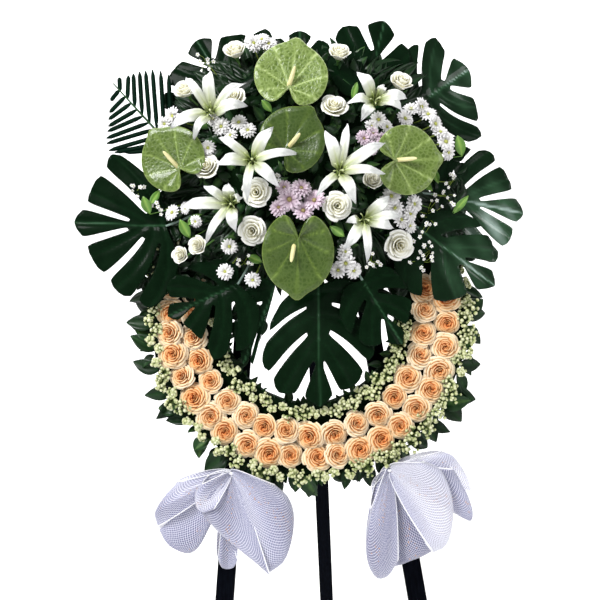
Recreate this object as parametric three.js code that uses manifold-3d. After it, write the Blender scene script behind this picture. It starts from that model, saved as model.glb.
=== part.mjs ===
// Funeral wreath on its three-legged stand, in millimetres, +Z up, seen from -Y.
// A full ring of foam carries two rows of peach roses, a bouquet sits over its top,
// and the whole leans back against two flat legs with a third leg behind them.
import * as THREE from 'three';
import { mergeVertices } from 'three/addons/utils/BufferGeometryUtils.js';
import Module from 'manifold-3d';

const wasm = await Module();
wasm.setup();

// Driving dimensions
const RING_HEIGHT = 1000;
const RING_SHIFT = 6;
const LEAN = THREE.MathUtils.degToRad(8);
const TURN = THREE.MathUtils.degToRad(2.9);
const RING = { radius: 270, halfWidth: 80, front: -12, back: 40, chamfer: 14, steps: 24 };
const TOUCH = 0.3;
const CLEARANCE = 0.4;
const TIDY = 0.05;
const LEG = { width: 41, depth: 20, top: 1490, footSpread: 262, topSpread: 79 };
const BACK_LEG = { width: 38, depth: 20, reach: 650, shift: 22 };
const RAIL = { height: 45, depth: 18, head: 455, cross: -262 };
const DOME = { x: -13, z: 337, wide: 262, tall: 246, rim: 28, rise: 62 };

// Places are given as seen from the front, in picture units on the ring's plane
const VIEW = { unit: 2.2, ringU: 309, ringV: 318, eyeX: -20, eyeZ: 40, distance: 1900 };

// Colours, roughness
const FINISH = {
  slat: [0x0b0b0d, 0.45],
  foam: [0x24401f, 0.95],
  leaf: [0x1f3d1a, 0.5],
  monstera: [0x12301a, 0.3],
  palm: [0x2b5a2a, 0.45],
  anthurium: [0x8fa45c, 0.25],
  spadix: [0xe3dfae, 0.5],
  lily: [0xeef0ee, 0.45],
  whiteRose: [0xe9e5cc, 0.6],
  daisy: [0xf0eeea, 0.6],
  lilac: [0xcdbccb, 0.6],
  peach: [0xf0be93, 0.6],
  filler: [0xcfcf9e, 0.8],
  ribbon: [0xc9c8e0, 0.5],
};

// White roses: across, down, head radius; one list for each node
const WHITE_ROSES = {
  white_roses_top_left: [[237, 58, 12.5], [189, 96, 12.5], [235, 103, 12]],
  white_roses_top_right: [[338, 60, 12], [333, 112, 12.5], [398, 89, 12.5]],
  white_roses_left: [[210, 171, 12], [201, 247, 10.5], [184, 256, 9.5]],
  white_roses_right: [[258, 193, 12], [254, 230, 12], [336, 206, 12], [370, 184, 11],
    [396, 244, 12.5]],
};
const DAISIES = {
  daisies_left: [[253, 44, 7], [269, 44, 7], [239, 123, 7], [222, 127, 8], [174, 116, 9],
    [208, 148, 7], [229, 247, 8], [225, 272, 8], [253, 279, 8]],
  daisies_right: [[404, 119, 8], [420, 107, 9], [434, 124, 9], [445, 142, 9], [378, 120, 9]],
  daisies_low_right: [[391, 196, 9], [413, 204, 9], [400, 220, 8], [346, 262, 10]],
};
const LILAC_DAISIES = {
  lilac_daisies: [[290, 199, 12], [315, 201, 11], [363, 139, 8], [382, 140, 8]],
};
// Lilies: throat, then the six petal tips
const LILIES = {
  lily_left: { throat: [252, 166], lift: 92,
    tips: [[273, 128], [299, 154], [279, 187], [247, 202], [217, 164], [219, 138]] },
  lily_centre: { throat: [333, 172], lift: 92,
    tips: [[325, 131], [347, 124], [384, 143], [384, 174], [355, 203], [316, 196]] },
  lily_low_left: { throat: [221, 205], lift: 84,
    tips: [[181, 207], [206, 243], [235, 231], [242, 197], [228, 184], [204, 186]] },
  lily_top_left: { throat: [210, 110], lift: 84,
    tips: [[210, 71], [186, 78], [171, 128], [194, 140], [247, 106], [246, 83]] },
  lily_top_right: { throat: [370, 103], lift: 84,
    tips: [[357, 73], [384, 86], [406, 98], [403, 111], [361, 120], [346, 104]] },
  lily_low_right: { throat: [365, 218], lift: 80,
    tips: [[389, 197], [402, 216], [393, 228], [367, 262], [345, 249], [346, 222]] },
};
// Anthuriums: middle, width, height, direction of the point, spadix base and end
const ANTHURIUMS = {
  top: { middle: [291, 76], wide: 74, tall: 67, point: 80, lift: 72,
    spadix: [[288, 88], [295, 66]] },
  left: { middle: [173, 159], wide: 66, tall: 64, point: 118, lift: 70,
    spadix: [[179, 168], [163, 151]] },
  centre: { middle: [292, 140], wide: 66, tall: 66, point: 58, lift: 66,
    spadix: [[289, 146], [300, 133]] },
  right: { middle: [406, 160], wide: 70, tall: 64, point: 10, lift: 70,
    spadix: [[395, 160], [417, 158]] },
  low: { middle: [298, 252], wide: 72, tall: 82, point: 268, lift: 74,
    spadix: [[294, 245], [291, 262]] },
};
// Cut leaves: stalk end of the blade, its tip, and the finger tips on each side
const MONSTERAS = {
  monstera_left: [{ hub: [156, 226], tip: [80, 256], offset: 26, fall: 0,
    left: [[160, 310], [132, 306], [112, 292], [93, 272]],
    right: [[132, 148], [102, 165], [83, 192], [74, 226]] }],
  monstera_top_left: [
    { hub: [226, 98], tip: [190, 32], offset: 8, fall: 0.25,
      left: [[158, 104], [160, 76], [170, 52]],
      right: [[276, 34], [258, 14], [235, 12], [212, 18]] }],
  monstera_top: [
    { hub: [300, 84], tip: [300, 28], offset: 14, fall: 0.2,
      left: [[262, 62], [270, 34]],
      right: [[332, 64], [328, 40]] }],
  monstera_top_middle: [{ hub: [366, 92], tip: [368, 12], offset: 16, fall: 0.25,
    left: [[330, 62], [332, 36], [346, 14]],
    right: [[408, 58], [408, 34], [392, 14]] }],
  monstera_top_right: [{ hub: [410, 106], tip: [472, 62], offset: 8, fall: 0.25,
    left: [[416, 40], [438, 24], [458, 38]],
    right: [[448, 152], [482, 146], [488, 118], [484, 88]] }],
  monstera_right: [{ hub: [436, 190], tip: [526, 210], offset: 20, fall: 0.1,
    left: [[452, 150], [480, 144], [502, 158], [516, 180]],
    right: [[456, 246], [488, 262], [514, 254], [526, 234]] }],
  monstera_low_right: [{ hub: [428, 234], tip: [495, 284], offset: 30, fall: 0,
    left: [[458, 214], [480, 236], [494, 260]],
    right: [[400, 286], [424, 304], [448, 306], [472, 296]] }],
  monstera_hole: [
    { hub: [318, 290], tip: [322, 402], offset: 24, fall: 0,
      left: [[374, 296], [374, 330], [368, 362], [350, 390]],
      right: [[266, 300], [262, 338], [266, 370], [292, 399]] }],
  monstera_hole_right: [
    { hub: [362, 280], tip: [402, 344], offset: 34, fall: 0,
      left: [[398, 276], [410, 298], [411, 322]],
      right: [[342, 322], [358, 342], [382, 354]] }],
  monstera_low_left: [
    { hub: [238, 284], tip: [168, 316], offset: 36, fall: 0,
      left: [[249, 346], [232, 366], [212, 350], [188, 332]],
      right: [[206, 262], [182, 274], [164, 292]] }],
};
const PALM = { base: [176, 152], tip: [112, 82], offset: 14,
  upper: [[168, 74], [152, 70], [139, 72], [128, 75], [119, 77]],
  lower: [[124, 152], [108, 150], [106, 138], [108, 126], [108, 116], [110, 100]] };
// Ribbon bows: knot, then the far end and half width of each loop
const BOWS = {
  bow_left: { knot: [228, 474],
    loops: [[160, 514, 22], [190, 550, 17], [236, 566, 15], [272, 566, 17], [287, 512, 15]] },
  bow_right: { knot: [388, 470],
    loops: [[380, 572, 15], [410, 556, 17], [440, 552, 16], [471, 512, 18], [462, 462, 13]] },
};
// Arcs of the ring, in degrees counter-clockwise from the right
const OUTER_ROSES = { radius: 301, first: 167, step: 9.55, count: 23, head: 24.6 };
const INNER_ROSES = { radius: 251, first: 166.5, step: 11.6, count: 19, head: 24.2 };
const DRESSED = { from: 150, to: 390 };

// A small repeatable random draw
let drawState = 20731;
function draw(low, high) {
  drawState = (drawState * 48271) % 2147483647;
  return low + (high - low) * drawState / 2147483647;
}

const V = (x, y, z) => new THREE.Vector3(x, y, z);
const mix = (a, b, t) => a + (b - a) * t;

// A seen place on the ring's plane, pulled towards the eye by its depth
function seen(u, v, y = 0) {
  const x = (u - VIEW.ringU) * VIEW.unit;
  const z = (VIEW.ringV - v) * VIEW.unit;
  const f = (VIEW.distance + y) / VIEW.distance;
  return V(VIEW.eyeX + (x - VIEW.eyeX) * f, y, VIEW.eyeZ + (z - VIEW.eyeZ) * f);
}
function domeReach(x, z) {
  return Math.hypot((x - DOME.x) / DOME.wide, (z - DOME.z) / DOME.tall);
}
const DOME_BACK = RING.front - TOUCH;
const BED_LEAVES = 17;
const FOOT_GAP = 0.8;
const STEM_DEPTH = 12;
const FOOT_SHIFTS = [[0, 0], [10, 0], [-10, 0], [0, 10], [0, -10], [18, 14], [-18, -14], [18, -14],
  [-18, 14], [0, 26], [0, -26], [26, 0], [-26, 0]];
function domeFront(x, z) {
  const reach = Math.min(1, domeReach(x, z));
  return DOME_BACK - DOME.rim - DOME.rise * (1 - reach * reach);
}
// A seen place at a height over the bouquet's bed
function overBed(u, v, lift) {
  let p = seen(u, v, -80);
  for (let i = 0; i < 3; i++) p = seen(u, v, domeFront(p.x, p.z) - lift);
  return p;
}

// Closed shells
function shell(points, faces) {
  let volume = 0;
  for (const [a, b, c] of faces) {
    volume += points[a].dot(points[b].clone().cross(points[c]));
  }
  const turned = volume > 0 ? faces : faces.map(([a, b, c]) => [a, c, b]);
  return { points, faces: turned };
}
// Skin over rings of equal count; the ends are closed by a fan, which may stand in or out
function loft(rings, { loop = false, startPoint = null, endPoint = null } = {}) {
  const points = rings.flat();
  const count = rings[0].length;
  const bands = loop ? rings.length : rings.length - 1;
  const faces = [];
  for (let i = 0; i < bands; i++) {
    const a = i * count;
    const b = ((i + 1) % rings.length) * count;
    for (let j = 0; j < count; j++) {
      const k = (j + 1) % count;
      faces.push([a + j, a + k, b + k], [a + j, b + k, b + j]);
    }
  }
  if (!loop) {
    const ends = [[0, startPoint, 1], [(rings.length - 1) * count, endPoint, -1]];
    for (const [first, given, sign] of ends) {
      const centre = given ? points.push(given) - 1 : first;
      for (let j = given ? 0 : 1; j < (given ? count : count - 1); j++) {
        const pair = [first + j, first + (j + 1) % count];
        faces.push(sign > 0 ? [centre, pair[1], pair[0]] : [centre, pair[0], pair[1]]);
      }
    }
  }
  return shell(points, faces);
}
function moved(body, matrix) {
  return shell(body.points.map((p) => p.clone().applyMatrix4(matrix)), body.faces);
}
function solid(body) {
  const mesh = new wasm.Mesh({
    numProp: 3,
    vertProperties: new Float32Array(body.points.flatMap((p) => [p.x, p.y, p.z])),
    triVerts: new Uint32Array(body.faces.flat()),
  });
  return new wasm.Manifold(mesh);
}
function joined(solids) {
  return solids.reduce((sum, next) => sum.add(next));
}
// Points and faces of a solid, pushed out along its normals
function grown(body, distance) {
  const mesh = body.getMesh();
  const count = mesh.vertProperties.length / mesh.numProp;
  const points = [];
  const normals = [];
  for (let i = 0; i < count; i++) {
    const at = i * mesh.numProp;
    points.push(V(...mesh.vertProperties.slice(at, at + 3)));
    normals.push(V(0, 0, 0));
  }
  const faces = [];
  for (let i = 0; i < mesh.triVerts.length; i += 3) {
    const [a, b, c] = mesh.triVerts.slice(i, i + 3);
    const ab = points[b].clone().sub(points[a]);
    const normal = ab.cross(points[c].clone().sub(points[a])).normalize();
    for (const k of [a, b, c]) normals[k].add(normal);
    faces.push([a, b, c]);
  }
  points.forEach((p, i) => p.addScaledVector(normals[i].normalize(), distance));
  return solid({ points, faces });
}
function boxesMeet(a, b) {
  const p = a.boundingBox();
  const q = b.boundingBox();
  return [0, 1, 2].every((i) => p.min[i] < q.max[i] + 1 && q.min[i] < p.max[i] + 1);
}
// What is left of a solid round others that keep their shape
function clearOf(body, others) {
  let left = body;
  for (const other of others) {
    const meets = boxesMeet(left, other.solid) && left.intersect(other.solid).volume() > 0;
    if (meets) left = left.subtract(other.grown).subtract(other.solid);
  }
  return largest(left);
}
function largest(body) {
  return body.decompose().reduce((big, next) => (next.volume() > big.volume() ? next : big));
}

// Turns a template that grows along +Z to face a direction, at a place
function facing(place, direction, spin = 0) {
  const turn = new THREE.Quaternion().setFromUnitVectors(V(0, 0, 1), direction.clone().normalize());
  turn.multiply(new THREE.Quaternion().setFromAxisAngle(V(0, 0, 1), spin));
  return new THREE.Matrix4().compose(place, turn, V(1, 1, 1));
}
function circle(radius, height, count, wave = 0, rise = 0) {
  return Array.from({ length: count }, (_, i) => {
    const angle = 2 * Math.PI * i / count;
    const side = i % 2 ? 1 : -1;
    const r = radius * (1 + side * wave);
    return V(r * Math.cos(angle), r * Math.sin(angle), height + side * rise);
  });
}
function rod(from, to, radius, endRadius = radius, sides = 5) {
  const along = to.clone().sub(from);
  const body = loft([circle(radius, 0, sides), circle(endRadius, along.length(), sides)]);
  return moved(body, facing(from, along));
}
// A blade of diamond section along a path, with a half width at each station
function blade(path, halfWidths, across, halfDepth) {
  const rings = path.map((p, i) => {
    const ahead = path[Math.min(i + 1, path.length - 1)];
    const behind = path[Math.max(i - 1, 0)];
    const along = ahead.clone().sub(behind).normalize();
    const side = across.clone().addScaledVector(along, -across.dot(along)).normalize();
    const up = side.clone().cross(along).normalize();
    const w = side.multiplyScalar(halfWidths[i]);
    const depth = Math.min(halfDepth, halfWidths[i]);
    return [p.clone().sub(w), p.clone().addScaledVector(up, depth), p.clone().add(w),
      p.clone().addScaledVector(up, -depth)];
  });
  return loft(rings);
}
// A thin sheet from a flat outline, split alike on both faces
function sheet(given, depthAt, thickness) {
  const area = THREE.ShapeUtils.area(given.map(([x, z]) => new THREE.Vector2(x, z)));
  const outline = area > 0 ? given : [...given].reverse();
  const contour = outline.map(([x, z]) => new THREE.Vector2(x, z));
  const triangles = THREE.ShapeUtils.triangulateShape(contour, []);
  const count = outline.length;
  const points = [];
  for (const side of [-0.5, 0.5]) {
    for (const [x, z] of outline) points.push(V(x, depthAt(x, z) + side * thickness, z));
  }
  const faces = [];
  for (const [a, b, c] of triangles) faces.push([a, b, c], [count + a, count + c, count + b]);
  for (let i = 0; i < count; i++) {
    const j = (i + 1) % count;
    faces.push([i, count + i, j], [j, count + i, count + j]);
  }
  return shell(points, faces);
}

// Flowers
const ROSE_ROWS = [[0.5, 0, 0, 0], [1, 0.62, 0.05, 0.06], [0.66, 0.58, -0.03, 0],
  [0.5, 1, -0.06, 0.06]];
const ROSE_SIDES = 6;
function roseHead(radius) {
  const rings = ROSE_ROWS.map(([r, h, wave, rise]) =>
    circle(r * radius, h * radius, ROSE_SIDES, wave, rise * radius));
  return loft(rings, { endPoint: V(0, 0, 0.86 * radius) });
}
function daisyHead(radius) {
  const rim = circle(radius, 0.12 * radius, 12, 0.26, 0.03 * radius);
  const disc = circle(0.3 * radius, 0.2 * radius, 12);
  return loft([rim, disc],
    { startPoint: V(0, 0, -0.42 * radius), endPoint: V(0, 0, 0.34 * radius) });
}
function outwardLean(place, amount) {
  return V(amount * (place.x - DOME.x) / DOME.wide, -1, amount * (place.z - DOME.z) / DOME.tall);
}
const standing = [];
function isClear(body) {
  return standing.every((other) => !boxesMeet(body, other.solid)
    || body.intersect(other.grown).volume() === 0);
}
// The first of some tries that meets nothing, or the first of all
function firstClear(tries) {
  return tries.find((each) => isClear(each.solid)) ?? tries[0];
}
// Heads on stems that reach the bed; side stems just over the bed join a node's heads
function cluster(list, head, lift, amount) {
  const stems = [];
  const solids = [];
  for (const [u, v, size] of list) {
    const place = overBed(u, v, lift);
    const radius = size * VIEW.unit * (VIEW.distance + place.y) / VIEW.distance;
    const lean = outwardLean(place, amount);
    solids.push(solid(moved(head(radius), facing(place, lean, draw(0, 1)))));
    const pull = Math.min(1, 0.92 / domeReach(place.x, place.z));
    const neck = place.clone().addScaledVector(lean.normalize(), 4);
    const best = firstClear(FOOT_SHIFTS.map(([dx, dz]) => {
      const foot = V(mix(DOME.x, place.x, pull) + dx, 0, mix(DOME.z, place.z, pull) + dz);
      foot.y = domeFront(foot.x, foot.z) + (stems.length ? -FOOT_GAP : STEM_DEPTH);
      return { foot, neck, solid: solid(rod(foot, neck, 2.6, 2.6, 3)) };
    }));
    solids.push(best.solid);
    stems.push(best);
  }
  const linked = [stems[0]];
  for (const next of stems.slice(1)) {
    const byDistance = [...linked].sort((a, b) =>
      a.foot.distanceTo(next.foot) - b.foot.distanceTo(next.foot));
    const tries = byDistance.flatMap((near) => [0.6, 0.4, 0.75, 0.25].map((share) => {
      const from = near.foot.clone().lerp(near.neck, share);
      const to = next.foot.clone().lerp(next.neck, share);
      const along = to.clone().sub(from).normalize().multiplyScalar(0.4);
      return { solid: solid(rod(from.sub(along), to.add(along), 1.8, 1.8, 3)) };
    }));
    solids.push(firstClear(tries).solid);
    linked.push(next);
  }
  return joined(solids);
}
function lily({ throat, lift, tips }) {
  const place = overBed(...throat, lift);
  const foot = V(place.x, domeFront(place.x, place.z) + STEM_DEPTH, place.z);
  const tube = loft([circle(2.6, 0, 6), circle(3.4, 30, 6),
    circle(8, lift - 14, 6), circle(15, lift + 16, 6)]);
  const solids = [solid(moved(tube, facing(foot, V(0, -1, 0))))];
  tips.forEach(([u, v], i) => {
    const back = i % 2 ? 6 : -4;
    const tip = seen(u, v, place.y + back);
    const start = place.clone().add(V(0, 16, 0));
    const across = tip.clone().sub(start).cross(V(0, 1, 0));
    const length = tip.distanceTo(start);
    const bulge = Math.min(30, 0.38 * length);
    const path = [9 / length, 0.58, 1].map((t) => {
      const p = start.clone().lerp(tip, t);
      p.y -= bulge * Math.sin(Math.PI * t) + (i % 2 ? 0 : 5) * (1 - t);
      return p;
    });
    const wide = i % 2 ? 15 : 19;
    solids.push(solid(blade(path, [4.5, wide, 1.2], across, 1.3)));
  });
  solids.push(solid(rod(place, place.clone().add(V(4, -46, -8)), 1.8, 2.6, 3)));
  return joined(solids);
}
// Heart outline round its own middle, point along +X, in a unit box
function heart(count) {
  return Array.from({ length: count }, (_, i) => {
    const t = 2 * Math.PI * (i + 0.5) / count;
    const across = 16 * Math.sin(t) ** 3 / 32;
    const along = -(13 * Math.cos(t) - 5 * Math.cos(2 * t) - 2 * Math.cos(3 * t)
      - Math.cos(4 * t)) / 29;
    return [along, across];
  });
}
function spathe({ middle, wide, tall, point, lift }) {
  const place = overBed(...middle, lift);
  const scale = VIEW.unit * (VIEW.distance + place.y) / VIEW.distance;
  const outline = heart(14);
  const level = (share, height, relief) => outline.map(([along, across], i) => V(
    along * share * tall * scale, across * share * wide * scale,
    height + (i % 2 ? relief : -relief)));
  const rings = [level(0.5, -3.6, 1), level(1, 0, 1.4), level(0.5, -1.2, 1)];
  const body = loft(rings, { startPoint: V(0, 0, -4.4), endPoint: V(0, 0, -1.8) });
  const matrix = facing(place, outwardLean(place, 0.16), THREE.MathUtils.degToRad(point - 90));
  const upright = new THREE.Matrix4().makeRotationZ(Math.PI / 2);
  const foot = V(place.x, domeFront(place.x, place.z) + STEM_DEPTH, place.z);
  return joined([solid(moved(moved(body, upright), matrix)),
    solid(rod(foot, place.clone().add(V(0, 3.2, 0)), 3, 3, 4))]);
}
function spadix({ spadix: [base, end], lift, middle }) {
  const place = overBed(...middle, lift);
  const from = seen(...base, place.y + 2.2);
  const to = seen(...end, place.y - 22);
  const along = to.clone().sub(from);
  const length = along.length();
  const rings = [circle(3.6, 0, 5), circle(4.6, length * 0.6, 5), circle(2, length, 5)];
  return solid(moved(loft(rings), facing(from, along)));
}

// Leaves
function leafDepth(x, z, offset, fall) {
  const beyond = Math.max(0, domeReach(x, z) - 1) * DOME.tall;
  return domeFront(x, z) - offset + fall * beyond;
}
// Outline of a cut leaf: wedge slots run from between the finger tips almost to the midrib
function cutOutline({ hub, tip, left, right }) {
  const along = (a, b, t) => [mix(a[0], b[0], t), mix(a[1], b[1], t)];
  const side = (tips) => tips.map((end, i) => (
    { end, root: along(hub, tip, 0.85 * (i + 0.35) / (tips.length + 1)) }));
  const fingers = [...side(left), { end: tip, root: along(hub, tip, 0.8) }, ...side(right).reverse()];
  const slot = (finger, other, t, share) => {
    const point = along(along(finger.root, other.root, 0.5), along(finger.end, other.end, 0.5), t);
    return [point[0] + share * (finger.end[0] - other.end[0]),
      point[1] + share * (finger.end[1] - other.end[1])];
  };
  const lobe = (finger, other) => {
    const point = along(hub, finger.end, 0.5);
    return [point[0] + 0.3 * (finger.end[0] - other.end[0]),
      point[1] + 0.3 * (finger.end[1] - other.end[1])];
  };
  const outline = [hub];
  fingers.forEach((finger, i) => {
    const before = fingers[i - 1];
    const after = fingers[i + 1];
    outline.push(before ? slot(finger, before, 0.94, 0.2) : lobe(finger, after));
    outline.push(finger.end);
    outline.push(after ? slot(finger, after, 0.94, 0.2) : lobe(finger, before));
    if (after) outline.push(slot(finger, after, 0.22, 0));
  });
  return outline;
}
// Stalk from the bouquet's bed to a leaf
function stalkTo(start) {
  const pull = Math.min(0.93, 0.82 / domeReach(start.x, start.z));
  const end = V(mix(DOME.x, start.x, pull), DOME_BACK - DOME.rim * 0.6,
    mix(DOME.z, start.z, pull));
  return solid(rod(end, start, 2.8, 2.8, 3));
}
function cutLeaf(leaf) {
  const outline = cutOutline(leaf).map(([u, v]) => {
    const p = seen(u, v, -60);
    return [p.x, p.z];
  });
  const body = sheet(outline, (x, z) => leafDepth(x, z, leaf.offset, leaf.fall), 1.2);
  const hub = seen(...leaf.hub, -60);
  hub.y = leafDepth(hub.x, hub.z, leaf.offset, leaf.fall);
  return joined([solid(body), stalkTo(hub)]);
}
function palmFrond({ base, tip, offset, upper, lower }) {
  const leaflets = (tips) => tips.flatMap((end, i) => {
    const t = (i + 0.5) / tips.length;
    const root = [mix(base[0], tip[0], t * 0.95), mix(base[1], tip[1], t * 0.95)];
    const dx = end[0] - root[0];
    const dy = end[1] - root[1];
    const wide = 2.4 / Math.hypot(dx, dy);
    const side = [-dy * wide, dx * wide];
    return [[root, [root[0] + dx * 0.5 - side[0], root[1] + dy * 0.5 - side[1]], end,
      [root[0] + dx * 0.5 + side[0], root[1] + dy * 0.5 + side[1]]]];
  });
  const from = seen(...base, -50);
  const to = seen(...tip, -50);
  from.y = leafDepth(from.x, from.z, offset, 0.15);
  to.y = from.y + 14;
  const run = to.clone().sub(from);
  const depth = (x, z) => from.y + 14 * ((x - from.x) * run.x + (z - from.z) * run.z)
    / (run.x * run.x + run.z * run.z);
  const flat = (points) => points.map(([u, v]) => {
    const p = seen(u, v, -50);
    return [p.x, p.z];
  });
  const solids = [...leaflets(upper), ...leaflets(lower)].map((points) =>
    solid(sheet(flat(points), depth, 1.2)));
  solids.push(solid(rod(from, to, 5, 2.5, 4)), stalkTo(from.clone().lerp(to, 0.1)));
  return joined(solids);
}

// Pieces that run round the ring
function polar(degrees, radius, y) {
  const a = THREE.MathUtils.degToRad(degrees);
  return V(radius * Math.cos(a), y, radius * Math.sin(a));
}
function arcBar(from, to, inner, outer, front, back, step = 15) {
  const count = Math.max(1, Math.round((to - from) / step));
  const rings = Array.from({ length: count + 1 }, (_, i) => {
    const a = mix(from, to, i / count);
    return [polar(a, inner, back), polar(a, outer, back), polar(a, outer, front),
      polar(a, inner, front)];
  });
  return loft(rings);
}
function ringBase() {
  const { radius, halfWidth: w, front, back, chamfer: c, steps } = RING;
  const section = [[-w + c, front], [w - c, front], [w, front + c], [w, back], [-w, back],
    [-w, front + c]];
  const rings = Array.from({ length: steps }, (_, i) =>
    section.map(([r, y]) => polar(360 * i / steps, radius + r, y)));
  return solid(loft(rings, { loop: true }));
}
const SLAB_FRONT = RING.front - 14;
function roseArc(row, first, last, inner, outer) {
  const half = row.step / 2;
  const gap = 0.08;
  const from = row.first + first * row.step - half + gap;
  const to = row.first + (last - 1) * row.step + half - gap;
  const back = RING.front - TOUCH;
  const solids = [solid(arcBar(from, to, inner, outer, SLAB_FRONT, back))];
  for (let i = first; i < last; i++) {
    const place = polar(row.first + i * row.step, row.radius, SLAB_FRONT + 4);
    const lean = V(draw(-0.12, 0.12), -1, draw(-0.12, 0.12));
    const matrix = facing(place, lean, draw(0, 6));
    solids.push(solid(moved(roseHead(row.head), matrix)));
  }
  return joined(solids);
}
// A bed of knobbly florets on a slim strip
function fillerArc(from, to, inner, outer, spread, count) {
  const gap = 0.15;
  const solids = [solid(arcBar(from + gap, to - gap, inner, outer,
    SLAB_FRONT - 4, RING.front - TOUCH))];
  for (let i = 0; i < count; i++) {
    const angle = mix(from, to, (i + 0.5) / count);
    const radius = (inner + outer) / 2 + (i % 2 ? spread : -spread * 0.4);
    const size = draw(10, 12.5);
    const place = polar(angle, radius, SLAB_FRONT - 2 - size * 0.6);
    const knob = loft([circle(size, -size * 0.5, 4), circle(size * 0.85, size * 0.4, 4)],
      { endPoint: V(0, 0, size) });
    solids.push(solid(moved(knob, facing(place, V(0, -1, 0), draw(0, 6)))));
  }
  return joined(solids);
}
// Leaves that stand out past the ring's edge from a strip along its wall
function leafArc(from, to, outwards, lengths, count) {
  const wall = RING.radius + outwards * (RING.halfWidth + TOUCH);
  const edge = wall + outwards * 5;
  const gap = 0.2;
  const front = RING.front + RING.chamfer + 1;
  const bar = arcBar(from + gap, to - gap, Math.min(wall, edge), Math.max(wall, edge),
    front, front + 14, 15);
  const solids = [solid(bar)];
  // Roots sit inside the bar both at its corners and between them
  const root = wall + (outwards > 0 ? 1.2 : -3);
  for (let i = 0; i < count; i++) {
    const angle = mix(from, to, (i + 0.5) / count);
    const length = draw(...lengths);
    const drift = draw(-5, 5);
    const y = front + 7;
    const path = [0, 0.5, 1].map((t) => polar(angle + drift * t * t,
      root + outwards * length * t, y - 16 * Math.sin(1.4 * t)));
    const across = polar(angle + 90, 1, 0).add(V(0, draw(-0.3, 0.3), 0));
    const wide = length * draw(0.3, 0.4);
    solids.push(solid(blade(path, [4, wide, 1], across, 0.9)));
  }
  return joined(solids);
}

// The bouquet's bed, with small leaves standing out of it where there is room
function bed(taken) {
  const ring = (share, y) => Array.from({ length: 16 }, (_, i) => {
    const a = 2 * Math.PI * i / 16;
    return V(DOME.x + share * DOME.wide * Math.cos(a), y, DOME.z + share * DOME.tall * Math.sin(a));
  });
  const front = (share) => DOME_BACK - DOME.rim - DOME.rise * (1 - share * share);
  const rings = [ring(0.96, DOME_BACK), ring(1, DOME_BACK - 8), ring(0.97, front(0.97)),
    ring(0.75, front(0.75)), ring(0.4, front(0.4))];
  let body = solid(loft(rings, { endPoint: V(DOME.x, front(0), DOME.z) }));
  const golden = THREE.MathUtils.degToRad(137.5);
  for (let i = 0; i < BED_LEAVES; i++) {
    const reach = 0.98 * Math.sqrt((i + 0.5) / BED_LEAVES);
    const x = DOME.x + reach * DOME.wide * Math.cos(i * golden);
    const z = DOME.z + reach * DOME.tall * Math.sin(i * golden);
    const start = V(x, domeFront(x, z) + 5, z);
    const heading = V(draw(-1, 1), -0.9, draw(-1, 1)).add(outwardLean(start, 0.8)).normalize();
    const length = draw(50, 70);
    const path = [0, 0.55, 1].map((t) => start.clone().addScaledVector(heading, length * t));
    const across = heading.clone().cross(V(draw(-1, 1), 0.4, draw(-1, 1)));
    const leaf = solid(blade(path, [3, 14, 1], across, 0.9));
    const room = taken.every((other) => !boxesMeet(leaf, other.solid)
      || leaf.intersect(other.grown).volume() < 1);
    if (room) body = body.add(leaf);
  }
  return body;
}

// Ribbon bow: loops that swell out from the knot, each with a crease along it
function bow({ knot, loops }) {
  const y = -34;
  const middle = seen(...knot, y);
  const solids = [solid(moved(loft([circle(14, -12, 6), circle(14, 12, 6)]),
    facing(middle, V(0, -1, 0))))];
  const outward = V(middle.x, 0, middle.z).normalize();
  const wallRadius = RING.radius + RING.halfWidth - 10;
  solids.push(solid(rod(outward.clone().multiplyScalar(wallRadius).add(V(0, 12, 0)),
    middle, 5, 8)));
  loops.forEach(([u, v, half], i) => {
    const end = seen(u, v, y + (i % 2 ? 22 : -14));
    const along = end.clone().sub(middle);
    const length = along.length();
    const flat = 0.5;
    const width = half * VIEW.unit;
    const section = (share, t) => Array.from({ length: 6 }, (_, k) => {
      const a = 2 * Math.PI * k / 6;
      return V(width * share * Math.cos(a), width * share * flat * Math.sin(a), length * t);
    });
    const rings = [section(0.25, 0), section(0.85, 0.4), section(0.95, 0.75), section(0.6, 0.97)];
    const side = along.clone().cross(V(0, 1, 0)).normalize();
    const frame = new THREE.Matrix4().makeBasis(side,
      along.clone().normalize().cross(side), along.clone().normalize());
    frame.setPosition(middle);
    solids.push(solid(moved(loft(rings), frame)));
  });
  return joined(solids);
}

// The stand: flat slats cut level at the floor
function slat(foot, top, across, width, depth, topHeight) {
  const along = top.clone().sub(foot).normalize();
  const side = across.clone().addScaledVector(along, -across.dot(along)).normalize();
  const face = along.clone().cross(side).normalize();
  const rings = [0, topHeight].map((height) => [[-1, -1], [1, -1], [1, 1], [-1, 1]].map(([a, b]) => {
    const p = foot.clone().addScaledVector(side, a * width / 2).addScaledVector(face, b * depth / 2);
    return p.addScaledVector(along, (height - p.z) / along.z);
  }));
  return loft(rings);
}
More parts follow.
